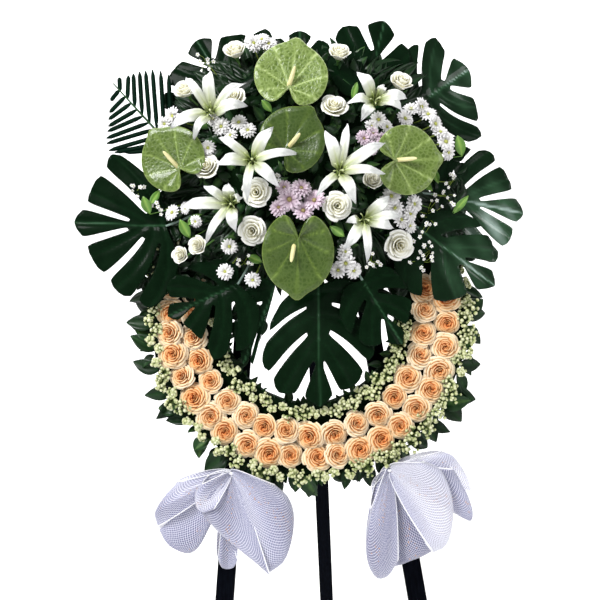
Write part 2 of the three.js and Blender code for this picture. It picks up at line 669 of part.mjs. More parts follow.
// Ring-plane place to the part's frame, leaning but not turned
function leant(x, y, z) {
  return V(x, y * Math.cos(LEAN) + z * Math.sin(LEAN),
    RING_HEIGHT - y * Math.sin(LEAN) + z * Math.cos(LEAN));
}
const LEG_Y = RING.back + TOUCH + LEG.depth / 2;
function frontLeg(side) {
  const drop = (RING_HEIGHT - LEG_Y * Math.sin(LEAN)) / Math.cos(LEAN);
  const rise = (LEG.top - RING_HEIGHT) / Math.cos(LEAN);
  const foot = leant(side * LEG.footSpread, LEG_Y, -drop);
  const top = leant(side * LEG.topSpread, LEG_Y, rise);
  const normal = V(0, Math.cos(LEAN), -Math.sin(LEAN));
  const across = normal.clone().cross(top.clone().sub(foot));
  return slat(foot, top, across, LEG.width, LEG.depth, LEG.top);
}
function rail(z, half) {
  const y = LEG_Y + LEG.depth / 2 + TOUCH;
  const corners = (x) => [[y, z - RAIL.height / 2], [y + RAIL.depth, z - RAIL.height / 2],
    [y + RAIL.depth, z + RAIL.height / 2], [y, z + RAIL.height / 2]].map(([b, c]) => leant(x, b, c));
  return loft([corners(-half), corners(half)]);
}
// The back leg's head is cut to lie flat on the head rail, a little right of the middle
function backLeg() {
  const y = LEG_Y + LEG.depth / 2 + RAIL.depth + 2 * TOUCH;
  const low = leant(0, y, RAIL.head - RAIL.height / 2);
  const high = leant(0, y, RAIL.head + RAIL.height / 2);
  const frontFoot = leant(0, LEG_Y, -RING_HEIGHT).y;
  const foot = frontFoot + BACK_LEG.reach;
  const along = V(0, foot, 0).sub(V(0, low.y, low.z));
  const run = BACK_LEG.depth * Math.abs(along.length() / along.z);
  const profile = [[low.y, low.z], [foot, 0], [foot + run, 0], [high.y + 12, high.z - 6],
    [high.y, high.z]];
  const half = BACK_LEG.width / 2;
  return loft([-half, half].map((x) => profile.map(([b, c]) => V(x + BACK_LEG.shift, b, c))));
}

// Every wreath piece keeps clear of those before it in this list
const wreathNodes = [];
function addWreath(name, body, finish, touches = standing) {
  const fitted = clearOf(body.simplify(TIDY), touches);
  const entry = { name, solid: fitted, grown: grown(fitted, CLEARANCE), finish };
  standing.push(entry);
  wreathNodes.push(entry);
}
for (const [place, flower] of Object.entries(ANTHURIUMS)) {
  addWreath(`spadix_${place}`, spadix(flower), 'spadix');
  addWreath(`anthurium_${place}`, spathe(flower), 'anthurium');
}
for (const [name, flower] of Object.entries(LILIES)) addWreath(name, lily(flower), 'lily');
for (const [name, list] of Object.entries(WHITE_ROSES)) {
  addWreath(name, cluster(list, roseHead, 34, 0.4), 'whiteRose');
}
for (const [name, list] of Object.entries(DAISIES)) {
  addWreath(name, cluster(list, daisyHead, 44, 0.4), 'daisy');
}
for (const [name, list] of Object.entries(LILAC_DAISIES)) {
  addWreath(name, cluster(list, daisyHead, 46, 0.3), 'lilac');
}
addWreath('palm_frond', palmFrond(PALM), 'palm');
for (const [name, leaves] of Object.entries(MONSTERAS)) {
  addWreath(name, joined(leaves.map(cutLeaf)), 'monstera');
}
for (const [name, shape] of Object.entries(BOWS)) addWreath(name, bow(shape), 'ribbon');

const OUTER_BREAKS = [0, 8, 15, 23];
const INNER_BREAKS = [0, 6, 13, 19];
const ROW_EDGE = { outer: [277, 329], inner: [224, 275] };
['left', 'low', 'right'].forEach((place, i) => {
  addWreath(`peach_roses_outer_${place}`,
    roseArc(OUTER_ROSES, OUTER_BREAKS[i], OUTER_BREAKS[i + 1], ...ROW_EDGE.outer), 'peach');
  addWreath(`peach_roses_inner_${place}`,
    roseArc(INNER_ROSES, INNER_BREAKS[i], INNER_BREAKS[i + 1], ...ROW_EDGE.inner), 'peach');
});
const third = (DRESSED.to - DRESSED.from) / 3;
['left', 'low', 'right'].forEach((place, i) => {
  const from = DRESSED.from + i * third;
  addWreath(`filler_outer_${place}`, fillerArc(from, from + third, 333, 343, 9, 11), 'filler');
});
const LEAF_STEP = 15;
const leafFrom = Math.ceil(DRESSED.from / LEAF_STEP) * LEAF_STEP;
['left', 'low', 'right'].forEach((place, i) => {
  const from = leafFrom + i * 75;
  addWreath(`ring_leaves_outer_${place}`, leafArc(from, from + 75, 1, [32, 48], 9), 'leaf');
});
['left', 'right'].forEach((place, i) => {
  const from = 180 + i * 90;
  addWreath(`filler_inner_${place}`, fillerArc(from, from + 90, 199, 210, -5, 8), 'filler');
  addWreath(`ring_leaves_inner_${place}`, leafArc(from, from + 90, -1, [18, 28], 6), 'leaf');
});
addWreath('bouquet_bed', bed(standing), 'leaf');
addWreath('ring_base', ringBase(), 'foam');

// Assembly
function material(finish) {
  const [color, roughness] = FINISH[finish];
  return new THREE.MeshStandardMaterial({ color, roughness, metalness: 0 });
}
function meshOf(name, points, faces, finish) {
  const geometry = new THREE.BufferGeometry();
  geometry.setAttribute('position', new THREE.Float32BufferAttribute(points, 3));
  geometry.setIndex(faces);
  const mesh = new THREE.Mesh(mergeVertices(geometry, 1e-4), material(finish));
  mesh.name = name;
  return mesh;
}
function shellMesh(name, body, finish) {
  return meshOf(name, body.points.flatMap((p) => [p.x, p.y, p.z]), body.faces.flat(), finish);
}
const wreath = new THREE.Group();
for (const { name, solid: body, finish } of wreathNodes) {
  const mesh = body.getMesh();
  wreath.add(meshOf(name, Array.from(mesh.vertProperties), Array.from(mesh.triVerts), finish));
}
wreath.rotation.set(-LEAN, TURN, 0);
wreath.position.set(RING_SHIFT, 0, RING_HEIGHT);

const stand = new THREE.Group();
stand.add(shellMesh('front_leg_left', frontLeg(-1), 'slat'));
stand.add(shellMesh('front_leg_right', frontLeg(1), 'slat'));
stand.add(shellMesh('back_leg', backLeg(), 'slat'));
stand.add(shellMesh('head_rail', rail(RAIL.head, 120), 'slat'));
stand.add(shellMesh('cross_rail', rail(RAIL.cross, 175), 'slat'));

const group = new THREE.Group();
group.add(stand, wreath);
group.updateMatrixWorld(true);
const bounds = new THREE.Box3().setFromObject(group, true);
group.position.set(-(bounds.min.x + bounds.max.x) / 2, -(bounds.min.y + bounds.max.y) / 2,
  -bounds.min.z);
export default group;
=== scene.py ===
# %% [markdown]
# # A funeral wreath on its stand
# The real thing is a foam ring dressed with peach roses, a bouquet over its top, two bows of open
# mesh ribbon and a black stand. The solids fix where each flower and leaf is. This script makes
# the fine petals, blades and threads around them, one kind of flower at a time.

import math
import random

import bmesh
import bpy
import numpy as np
from mathutils import Matrix, Vector


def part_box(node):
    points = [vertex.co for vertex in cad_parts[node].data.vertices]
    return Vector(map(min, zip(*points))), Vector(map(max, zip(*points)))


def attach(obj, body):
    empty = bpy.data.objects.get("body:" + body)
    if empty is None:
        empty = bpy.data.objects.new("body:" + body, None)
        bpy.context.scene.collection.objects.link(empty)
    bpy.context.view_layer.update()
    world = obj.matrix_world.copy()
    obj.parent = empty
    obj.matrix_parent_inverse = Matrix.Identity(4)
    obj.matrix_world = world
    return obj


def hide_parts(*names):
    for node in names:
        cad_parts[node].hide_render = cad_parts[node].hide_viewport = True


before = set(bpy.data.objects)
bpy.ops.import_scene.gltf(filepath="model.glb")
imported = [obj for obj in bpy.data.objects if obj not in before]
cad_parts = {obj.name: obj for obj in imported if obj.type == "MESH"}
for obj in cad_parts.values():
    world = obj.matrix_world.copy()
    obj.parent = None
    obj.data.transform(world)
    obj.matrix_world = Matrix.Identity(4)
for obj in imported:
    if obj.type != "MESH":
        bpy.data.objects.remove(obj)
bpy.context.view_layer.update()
rng = random.Random(411)
print("nodes:", len(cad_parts))

# %% [markdown]
# The wreath leans back on its legs and is rolled a little to one side. Every flower is easier to
# place on an upright ring, so all shapes are made in millimetres round the ring's middle, with +Y
# going away, and one matrix carries them to their real place in metres.

# %% The ring's own frame, from the legs
LEAN = math.radians(8)
TURN = math.radians(2.9)
RING_HEIGHT = 1000
RING_SHIFT = 6
FEET_TO_RING = 99.85
left_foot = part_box("front_leg_left")[0]
right_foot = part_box("front_leg_right")[1]
ring_x = 500 * (left_foot.x + right_foot.x) + RING_SHIFT
ring_y = 1000 * left_foot.y + FEET_TO_RING
turned = Matrix.Rotation(-LEAN, 4, "X") @ Matrix.Rotation(TURN, 4, "Y")
RING_FRAME = Matrix.Scale(0.001, 4) @ Matrix.Translation((ring_x, ring_y, RING_HEIGHT)) @ turned
print("ring's middle, in mm:", round(ring_x, 2), round(ring_y, 2), RING_HEIGHT)

# %% [markdown]
# The camera stands where the photographer stood, level with the ring's lean. Its lens follows
# from one picture unit being 2.2 mm on the ring's plane, 1.9 m away.

# %% Camera
PIXEL = 2.2
RING_U = 309
RING_V = 318
EYE = np.array([-20.0, -1900.0, 40.0])
FRAME_PIXELS = 600
SENSOR = 36
camera = bpy.data.objects.new("camera", bpy.data.cameras.new("camera"))
bpy.context.collection.objects.link(camera)
camera.data.sensor_width = SENSOR
camera.data.lens = -EYE[1] / PIXEL / FRAME_PIXELS * SENSOR
looking = Matrix(((1, 0, 0, 0), (0, 0, -1, 0), (0, 1, 0, 0), (0, 0, 0, 1)))
camera.matrix_world = Matrix.Translation(RING_FRAME @ Vector(EYE)) @ turned @ looking
bpy.context.scene.camera = camera
print("lens:", round(camera.data.lens, 2), "mm")

# %% [markdown]
# Flowers are photographed in a soft even light. A pale floor that curves up behind, big soft
# lamps in front and a bright surrounding do the same here.

# %% Floor, lamps and surrounding light
FLOOR_REACH = 6.0
BACK_WALL = 3.4
CORNER = 1.2
LAMPS = {"key": ((-1.5, -2.0, 3.1), 1.1, 118, (0, -0.2, 1.05)),
         "fill": ((2.4, -1.7, 1.9), 1.4, 30, (0, -0.2, 1.05)),
         "backdrop": ((0, 1.3, 3.5), 3.0, 150, (0, 3.3, 0.8))}


def select_only(thing=None):
    bpy.ops.object.select_all(action="DESELECT")
    if thing:
        thing.select_set(True)
        bpy.context.view_layer.objects.active = thing


def wired(node, inputs):
    """Gives a node's inputs their values, or links them to another node's output."""
    for name, value in inputs.items():
        if isinstance(value, bpy.types.NodeSocket):
            node.id_data.links.new(value, node.inputs[name])
        else:
            node.inputs[name].default_value = value
    return node


def shader_of(material):
    return material.node_tree.nodes["Principled BSDF"]


def new_material(name, inputs):
    material = bpy.data.materials.new(name)
    material.use_nodes = True
    wired(shader_of(material), inputs)
    return material


select_only()
bpy.ops.mesh.primitive_plane_add(size=2 * FLOOR_REACH, location=(0, BACK_WALL - FLOOR_REACH, 0))
floor = bpy.context.object
bpy.ops.object.mode_set(mode="EDIT")
bpy.ops.mesh.select_all(action="DESELECT")
bpy.ops.object.mode_set(mode="OBJECT")
for edge in floor.data.edges:
    edge.select = all(floor.data.vertices[i].co.y > 0 for i in edge.vertices)
bpy.ops.object.mode_set(mode="EDIT")
bpy.ops.mesh.select_mode(type="EDGE")
bpy.ops.mesh.extrude_region_move(TRANSFORM_OT_translate={"value": (0, 0, FLOOR_REACH)})
bpy.ops.object.mode_set(mode="OBJECT")
bpy.ops.object.transform_apply(location=True)
bend = floor.modifiers.new("round corner", "BEVEL")
bend.width = CORNER
bend.segments = 16
bpy.ops.object.modifier_apply(modifier=bend.name)
bpy.ops.object.shade_smooth()
floor.name = "pale_floor"
floor.data.materials.append(new_material("pale_floor", {"Base Color": (0.93, 0.93, 0.93, 1),
                                                        "Roughness": 0.9}))
for name, (place, size, power, aim) in LAMPS.items():
    lamp = bpy.data.objects.new(name, bpy.data.lights.new(name, "AREA"))
    lamp.data.size = size
    lamp.data.energy = power
    lamp.location = place
    lamp.rotation_euler = (Vector(aim) - Vector(place)).to_track_quat("-Z", "Y").to_euler()
    bpy.context.collection.objects.link(lamp)
world = bpy.data.worlds.new("studio")
world.use_nodes = True
wired(world.node_tree.nodes["Background"], {"Color": (1, 1, 1, 1), "Strength": 0.42})
bpy.context.scene.world = world
bpy.context.scene.view_settings.view_transform = "Standard"
print("lamps:", len(LAMPS))

# %% [markdown]
# Petals and leaves are thin curved sheets. They could be sculpted, but a formula gives each its
# true run and is easy to vary. A grid primitive has its rows along the petal and its columns
# across it, the formula places its points, and a Solidify modifier gives it thickness. A form
# keeps points, faces and painted marks together, so that a template can be copied many times.

# %% Forms: points, faces and marks
class Form:
    def __init__(self, points, faces, marks=None):
        self.points = np.asarray(points, float).reshape(-1, 3)
        self.faces = [tuple(int(i) for i in face) for face in faces]
        self.marks = {name: np.broadcast_to(np.asarray(value, float), len(self.points)).copy()
                      for name, value in (marks or {}).items()}


def gather(forms):
    names = sorted({name for form in forms for name in form.marks})
    marks = {name: np.concatenate([form.marks.get(name, np.zeros(len(form.points)))
                                   for form in forms]) for name in names}
    faces = []
    first = 0
    for form in forms:
        faces += [tuple(i + first for i in face) for face in form.faces]
        first += len(form.points)
    return Form(np.concatenate([form.points for form in forms]), faces, marks)


def placed(form, matrix, marks=None):
    at = form.points @ matrix[:3, :3].T + matrix[:3, 3]
    return Form(at, form.faces, {**form.marks, **(marks or {})})


def mesh_of(form, name):
    mesh = bpy.data.meshes.new(name)
    mesh.from_pydata(form.points.tolist(), [], form.faces)
    for mark, values in form.marks.items():
        mesh.attributes.new(mark, "FLOAT", "POINT").data.foreach_set("value", values)
    return mesh


def form_of(mesh):
    points = np.empty(len(mesh.vertices) * 3)
    mesh.vertices.foreach_get("co", points)
    marks = {}
    for layer in mesh.attributes:
        if layer.data_type == "FLOAT" and layer.domain == "POINT":
            marks[layer.name] = np.empty(len(mesh.vertices))
            layer.data.foreach_get("value", marks[layer.name])
    return Form(points, [face.vertices[:] for face in mesh.polygons], marks)


def thickened(form, thickness):
    """The form as a closed shell, by a Solidify modifier."""
    thing = bpy.data.objects.new("sheet", mesh_of(form, "sheet"))
    bpy.context.collection.objects.link(thing)
    select_only(thing)
    wall = thing.modifiers.new("wall", "SOLIDIFY")
    wall.thickness = thickness
    wall.offset = 0
    bpy.ops.object.modifier_apply(modifier=wall.name)
    closed = form_of(thing.data)
    bpy.data.objects.remove(thing)
    return closed


def primitive_form(add, **settings):
    """A mesh primitive, added by its operator and taken as a form."""
    select_only()
    add(**settings)
    thing = bpy.context.object
    form = form_of(thing.data)
    bpy.data.objects.remove(thing)
    return Form(form.points, form.faces)


grids = {}


def sheet_form(columns, rows, shape, **marks):
    """A grid shaped by shape(s, t): s runs -1 to 1 across, t runs 0 to 1 along."""
    if (columns, rows) not in grids:
        grids[columns, rows] = primitive_form(bpy.ops.mesh.primitive_grid_add,
                                              x_subdivisions=columns, y_subdivisions=rows, size=2)
    grid = grids[columns, rows]
    s = grid.points[:, 0]
    t = (grid.points[:, 1] + 1) / 2
    painted = {name: value(s, t) if callable(value) else value for name, value in marks.items()}
    return Form(np.stack(shape(s, t), axis=1), grid.faces, painted)


def smooth(path, count):
    """Evenly numbered points on a soft curve through the given ones."""
    given = np.asarray(path, float)
    ends = np.vstack([2 * given[0] - given[1], given, 2 * given[-1] - given[-2]])
    out = []
    for share in np.linspace(0, len(given) - 1 - 1e-9, count):
        i = int(share)
        t = share - i
        a, b, c, d = ends[i:i + 4]
        out.append(0.5 * (2 * b + (c - a) * t + (2 * a - 5 * b + 4 * c - d) * t * t
                          + (3 * b - a - 3 * c + d) * t ** 3))
    return np.array(out)


def mix(a, b, t):
    return a + (b - a) * t


def unit(vector):
    return np.asarray(vector, float) / max(1e-9, np.linalg.norm(vector))


def band(rows, around):
    """Faces between closed rows of points."""
    steps = [(k, (k + 1) % around) for k in range(around)]
    return [(i + a, i + b, i + b + around, i + a + around)
            for i in range(0, (rows - 1) * around, around) for a, b in steps]


def capped_band(rows, around):
    last = (rows - 1) * around
    return band(rows, around) + [tuple(range(around))[::-1], tuple(range(last, last + around))]


def tube(path, radii, sides=6, **marks):
    """A round stem along a path, closed at both ends."""
    path = np.asarray(path, float)
    points = []
    side = None
    for place, ahead, radius in zip(path, np.gradient(path, axis=0),
                                    np.broadcast_to(radii, len(path))):
        ahead = unit(ahead)
        guess = side if side is not None else unit(np.cross(ahead, [0.31, 0.2, 0.93]))
        side = unit(guess - ahead * guess.dot(ahead))
        up = np.cross(ahead, side)
        for k in range(sides):
            a = 2 * math.pi * k / sides
            points.append(place + radius * (math.cos(a) * side + math.sin(a) * up))
    return Form(points, capped_band(len(path), sides), marks)


def facing(place, direction, spin=0.0, size=1.0):
    """Turns a template that grows along +Z to a direction, at a place."""
    turn = Vector((0, 0, 1)).rotation_difference(Vector(direction).normalized())
    turn = turn @ Matrix.Rotation(spin, 3, "Z").to_quaternion()
    return np.array(Matrix.LocRotScale(Vector(place), turn, Vector((size, size, size))))


def leaning(amount):
    """Towards the eye, leaning any way by up to an amount."""
    return rng.uniform(-amount, amount), -1, rng.uniform(-amount, amount)


made = []


def finish_piece(name, form, slot, material, *nodes):
    """Carries a form to its real place, gives it its finish and its body, and hides the solids of the
    nodes it stands for.
    """
    mesh = mesh_of(placed(form, np.array(RING_FRAME)), name)
    mesh.materials.append(material)
    thing = bpy.data.objects.new(name, mesh)
    bpy.context.collection.objects.link(thing)
    select_only(thing)
    bpy.ops.object.shade_smooth()
    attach(thing, "root")
    if nodes:
        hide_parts(*nodes)
    made.append(thing)
    print(name, "-", sum(len(face) - 2 for face in form.faces), "triangles")
    return thing


# %% [markdown]
# Places are read off the picture as across and down. Each is put on the ring's plane and pulled
# towards the eye by its depth, so that it still lines up in the picture. The bouquet is a low
# dome, and every bloom in it stands a given height over that dome.

# %% Places
DOME = {"x": -13, "z": 337, "wide": 262, "tall": 246, "rim": 28, "rise": 62}
DOME_BACK = -12.3
RING_FRONT = -12


def seen(u, v, depth=0.0):
    x = (u - RING_U) * PIXEL
    z = (RING_V - v) * PIXEL
    f = (depth - EYE[1]) / -EYE[1]
    return np.array([mix(EYE[0], x, f), depth, mix(EYE[2], z, f)])


def dome_reach(x, z):
    return np.hypot((x - DOME["x"]) / DOME["wide"], (z - DOME["z"]) / DOME["tall"])


def dome_front(x, z):
    reach = np.minimum(1, dome_reach(x, z))
    return DOME_BACK - DOME["rim"] - DOME["rise"] * (1 - reach * reach)


def over_bed(u, v, lift):
    place = seen(u, v, -80)
    for _ in range(3):
        place = seen(u, v, dome_front(place[0], place[2]) - lift)
    return place


def outward(place, amount):
    return np.array([amount * (place[0] - DOME["x"]) / DOME["wide"], -1,
                     amount * (place[2] - DOME["z"]) / DOME["tall"]])


def leaf_depth(x, z, offset, fall):
    beyond = np.maximum(0, dome_reach(x, z) - 1) * DOME["tall"]
    return dome_front(x, z) - offset + fall * beyond


def stem_to_bed(place, radius=2.2, **marks):
    pull = min(1, 0.92 / dome_reach(place[0], place[2]))
    foot = np.array([mix(DOME["x"], place[0], pull), 0, mix(DOME["z"], place[2], pull)])
    foot[1] = dome_front(foot[0], foot[2]) + 8
    bent = (place + foot) / 2 + np.array([0, -4, -3])
    return tube(smooth([foot, bent, place], 6), radius, 5, **marks)


def size_at(place, pixels):
    return pixels * PIXEL * (place[1] - EYE[1]) / -EYE[1]


print("dome front at its middle:", float(dome_front(DOME["x"], DOME["z"])), "mm")

# %% [markdown]
# Petals and leaves are never one flat colour: they vary from bloom to bloom and have fine lines
# along them. One node group makes that soft variation and the fine relief, and every plant
# material uses it with its own colours.

# %% Shader group: plant surface
def add_node(tree, kind, inputs=None, **settings):
    node = tree.nodes.new("ShaderNode" + kind)
    for name, value in settings.items():
        setattr(node, name, value)
    return wired(node, inputs or {})


def maths(tree, operation, *values):
    return add_node(tree, "Math", dict(enumerate(values)), operation=operation).outputs[0]


def blended(tree, factor, a, b, blend_type="MIX"):
    return add_node(tree, "Mix", {"Factor": factor, "A": a, "B": b}, data_type="RGBA",
                    blend_type=blend_type).outputs["Result"]


plant = bpy.data.node_groups.new("plant surface", "ShaderNodeTree")
for label, kind, value in (("Deep", "Color", (0.1, 0.2, 0.1, 1)), ("Pale", "Color", (0.5, 0.6, 0.5, 1)),
                           ("Tone", "Float", 0.5), ("Mottle", "Float", 0.2),
                           ("Grain", "Float", 400.0), ("Relief", "Float", 0.2)):
    socket = plant.interface.new_socket(label, in_out="INPUT", socket_type="NodeSocket" + kind)
    socket.default_value = value
for label, kind in (("Color", "Color"), ("Height", "Float"), ("Rough", "Float")):
    plant.interface.new_socket(label, in_out="OUTPUT", socket_type="NodeSocket" + kind)
taken = plant.nodes.new("NodeGroupInput").outputs
where = add_node(plant, "TexCoord").outputs["Object"]
spots = add_node(plant, "TexNoise", {"Vector": where, "Scale": 38, "Detail": 3}).outputs["Fac"]
fine = add_node(plant, "TexNoise", {"Vector": where, "Scale": taken["Grain"], "Detail": 2})
swing = add_node(plant, "Math", {0: maths(plant, "SUBTRACT", spots, 0.5), 1: taken["Mottle"],
                                 2: taken["Tone"]}, operation="MULTIPLY_ADD", use_clamp=True)
wired(plant.nodes.new("NodeGroupOutput"), {
    "Color": blended(plant, swing.outputs[0], taken["Deep"], taken["Pale"]),
    "Height": maths(plant, "MULTIPLY", fine.outputs["Fac"], taken["Relief"]), "Rough": spots})
print("shader group:", plant.name)

# %% [markdown]
# A plant material reads a painted mark, which says how far a point is from the flower's heart or
# along its petal, and turns it into a colour between a few. In places the mark also carries painted
# light: a painted sheen on glossy leaves, painted highlights at rims and painted shade in grooves.
# An image could hold the colours, but marks need no unwrapping and stay sharp. Waxy leaves and
# spathes get a clear coat over that.

# %% Materials of petals and leaves
LOW_IOR = 1.18


def mark_value(tree, mark):
    return add_node(tree, "Attribute", attribute_name=mark).outputs["Fac"]


def ramp_of(tree, source, stops):
    node = add_node(tree, "ValToRGB", {"Fac": source})
    while len(node.color_ramp.elements) < len(stops):
        node.color_ramp.elements.new(0.5)
    for element, (at, colour) in zip(node.color_ramp.elements, stops):
        element.position = at
        element.color = (*colour, 1)
    return node.outputs["Color"]


def plant_material(name, stops, dark=0.72, rough=(0.4, 0.6), coat=0.0, grain=420, relief=0.3,
                   shine=0.35, coat_mark=None, bump=0.25, distance=0.001, ior=1.5):
    """stops colour the tone mark from 0 to 1; dark is how deep the mottling goes."""
    material = new_material(name, {"Coat Weight": coat, "Coat Roughness": 0.12,
                                   "Specular IOR Level": shine, "IOR": ior})
    tree = material.node_tree
    pale = ramp_of(tree, mark_value(tree, "tone"), stops)
    deep = blended(tree, 1, pale, (dark, dark, dark, 1), "MULTIPLY")
    surface = add_node(tree, "Group", {"Deep": deep, "Pale": pale, "Tone": 0.62, "Mottle": 1.3,
                                       "Grain": grain, "Relief": relief}, node_tree=plant).outputs
    spread = add_node(tree, "MapRange", {"Value": surface["Rough"], "From Min": 0.3,
                                         "From Max": 0.7, "To Min": rough[0], "To Max": rough[1]})
    raised = add_node(tree, "Bump", {"Strength": bump, "Distance": distance,
                                     "Height": surface["Height"]})
    wired(shader_of(material), {"Base Color": surface["Color"], "Normal": raised.outputs["Normal"],
                                "Roughness": spread.outputs["Result"]})
    if coat_mark:
        wired(shader_of(material), {"Coat Weight": mark_value(tree, coat_mark)})
    return material


GREEN_STEM = (0.07, 0.16, 0.035)
PEACH = plant_material("peach rose petal", [
    (0.0, GREEN_STEM), (0.05, (0.42, 0.07, 0.015)), (0.2, (0.78, 0.23, 0.05)),
    (0.4, (0.84, 0.4, 0.14)), (0.64, (0.87, 0.59, 0.31)), (0.94, (0.97, 0.84, 0.63))], dark=0.76)
CREAM = plant_material("white rose petal", [
    (0.0, GREEN_STEM), (0.05, (0.68, 0.64, 0.36)), (0.3, (0.87, 0.85, 0.69)),
    (0.7, (0.92, 0.92, 0.86)), (1.0, (0.95, 0.95, 0.93))], dark=0.9)
LILY = plant_material("lily petal", [
    (0.0, (0.15, 0.23, 0.04)), (0.22, (0.42, 0.5, 0.17)), (0.42, (0.64, 0.68, 0.47)),
    (0.64, (0.76, 0.78, 0.74)), (1.0, (0.84, 0.85, 0.88))], dark=0.82, grain=300)
DAISY = plant_material("daisy petal", [
    (0.0, (0.2, 0.28, 0.04)), (0.2, (0.56, 0.55, 0.14)), (0.34, (0.74, 0.73, 0.68)),
    (1.0, (0.92, 0.91, 0.93))], dark=0.86)
LILAC = plant_material("lilac daisy petal", [
    (0.0, (0.2, 0.17, 0.02)), (0.2, (0.4, 0.32, 0.16)), (0.34, (0.55, 0.38, 0.48)),
    (1.0, (0.8, 0.68, 0.77))], dark=0.82)
SPADIX = plant_material("spadix", [
    (0.0, (0.62, 0.55, 0.2)), (0.6, (0.85, 0.78, 0.42)), (1.0, (0.8, 0.74, 0.38))], relief=1,
    grain=700, bump=0.6)
SPATHE = plant_material("anthurium spathe", [
    (0.0, (0.035, 0.07, 0.008)), (0.3, (0.085, 0.14, 0.018)), (0.6, (0.2, 0.28, 0.07)),
    (1.0, (0.5, 0.6, 0.28))], dark=0.6, rough=(0.24, 0.4), coat=0.26, grain=200, relief=1,
    shine=0.25, bump=0.4, distance=0.002)
# The palest stop is reached only where painted sheen lies: a painted pale bluish reflection on the
# glossy leaves.
DARK_LEAF = plant_material("dark cut leaf", [
    (0.0, (0.0015, 0.006, 0.002)), (0.3, (0.004, 0.018, 0.006)),
    (0.6, (0.026, 0.074, 0.034)), (1.0, (0.36, 0.48, 0.43))], dark=0.45, rough=(0.3, 0.5),
    grain=120, relief=1, shine=0.1, coat_mark="gloss", bump=0.3, distance=0.002, ior=LOW_IOR)
RING_LEAF = plant_material("ring leaf", [
    (0.0, (0.004, 0.018, 0.005)), (0.5, (0.014, 0.052, 0.013)), (1.0, (0.11, 0.23, 0.055))],
    dark=0.5, rough=(0.32, 0.5), coat=0.06, grain=200, relief=0.6, shine=0.22)
BRIGHT_LEAF = plant_material("bright young leaf", [
    (0.0, (0.06, 0.16, 0.03)), (0.5, (0.16, 0.33, 0.05)), (1.0, (0.36, 0.5, 0.12))],
    dark=0.6, rough=(0.3, 0.45), grain=240)
PALM = plant_material("palm leaflet", [
    (0.0, (0.0015, 0.007, 0.004)), (0.5, (0.003, 0.016, 0.008)), (1.0, (0.03, 0.07, 0.03))],
    dark=0.5, rough=(0.4, 0.55), grain=260, shine=0.1, ior=LOW_IOR)
FLORET = plant_material("filler floret", [
    (0.0, (0.04, 0.08, 0.015)), (0.3, (0.2, 0.26, 0.07)), (0.68, (0.55, 0.58, 0.29)),
    (1.0, (0.86, 0.87, 0.62))], dark=0.62)
FOAM = plant_material("green foam", [
    (0.0, (0.003, 0.012, 0.003)), (1.0, (0.012, 0.036, 0.01))], dark=0.4, rough=(0.85, 1.0),
    grain=900, relief=1, shine=0.05, bump=0.8)


def add_net(material, scale, strength):
    """Raised, paler veins between small cells, as strong as the piece's own net mark."""
    tree = material.node_tree
    shader = shader_of(material)
    cells = add_node(tree, "TexVoronoi", {"Vector": add_node(tree, "TexCoord").outputs["Object"],
                                          "Scale": scale}, feature="DISTANCE_TO_EDGE")
    line = add_node(tree, "MapRange", {"Value": cells.outputs["Distance"], "From Max": 0.3,
                                       "To Min": 1, "To Max": 0}).outputs["Result"]
    amount = maths(tree, "MULTIPLY", line, mark_value(tree, "net"))
    blade = shader.inputs["Base Color"].links[0].from_socket
    grain = shader.inputs["Normal"].links[0].from_socket
    raised = add_node(tree, "Bump", {"Strength": 0.45, "Distance": 0.0018, "Height": amount,
                                     "Normal": grain})
    wired(shader, {"Base Color": blended(tree, maths(tree, "MULTIPLY", amount, strength), blade,
                                         (0.34, 0.44, 0.15, 1)),
                   "Normal": raised.outputs["Normal"]})


add_net(SPATHE, 125, 0.38)
print("materials:", [material.name for material in bpy.data.materials])

# %% [markdown]
# A rose seen from the front is a set of cups inside each other. A spiral scored into a ball would
# be quicker, but no rim would stand free of the next. So every petal is a sheet wrapped round the
# stem: it leaves the base, swells out to its own radius and curls over at the rim. Each leans past
# the next, so that the rims make a spiral.

# %% Rose heads
# each whorl: radius, height, number of petals, spread of a petal
WHORLS = [(0.08, 0.95, 2, 1.8), (0.18, 1.0, 3, 1.35), (0.3, 1.0, 3, 1.35), (0.44, 0.95, 4, 1.05),
          (0.6, 0.86, 5, 0.86), (0.76, 0.75, 5, 0.86), (0.9, 0.63, 5, 0.86), (1.02, 0.5, 5, 0.82)]
WHITE_WHORLS = [(0.14, 1.02, 2, 1.8), (0.32, 1.05, 3, 1.4), (0.52, 1.0, 3, 1.4),
                (0.76, 0.84, 4, 1.05), (1.0, 0.62, 5, 0.9)]
PETAL_WALL = 0.022
CALYX = tube([[0, 0, -0.45], [0, 0, -0.12], [0, 0, 0.08], [0, 0, 0.2]], [0.07, 0.1, 0.2, 0.28],
             8, tone=0.0)


def rose_petal(turn, spread, radius, height, curl):
    bend = rng.uniform(-0.05, 0.05)
    wobble = rng.uniform(0, 6)

    def shape(s, t):
        angle = turn + spread * s * (0.62 + 0.38 * np.sin(math.pi * np.minimum(1, 1.1 * t)))
        out = 0.06 + (radius - 0.06) * (1 - (1 - t) ** 1.9)
        rolled = np.clip((t - 0.72) / 0.28, 0, 1) ** 2
        out = out * (1 + 0.055 * s) + curl * rolled * (1 - 0.3 * s * s)
        out = out * (1 + 0.03 * np.sin(3 * angle + wobble) * t)
        up = height * t ** 0.85 * (1 - 0.1 * s * s * t) - 0.9 * curl * rolled ** 1.5
        return out * np.cos(angle), out * np.sin(angle), up + bend * s * t * height * 0.5
    # Tone: paler out along the petal and on the wider whorls. It is paler still in the last stretch at
    # the rim, which is a painted highlight on the rolled rims.
    return sheet_form(6, 5, shape, tone=lambda s, t: np.clip(
        0.06 + 0.66 * radius * t ** 0.8 + 0.34 * t ** 7, 0.06, 1))


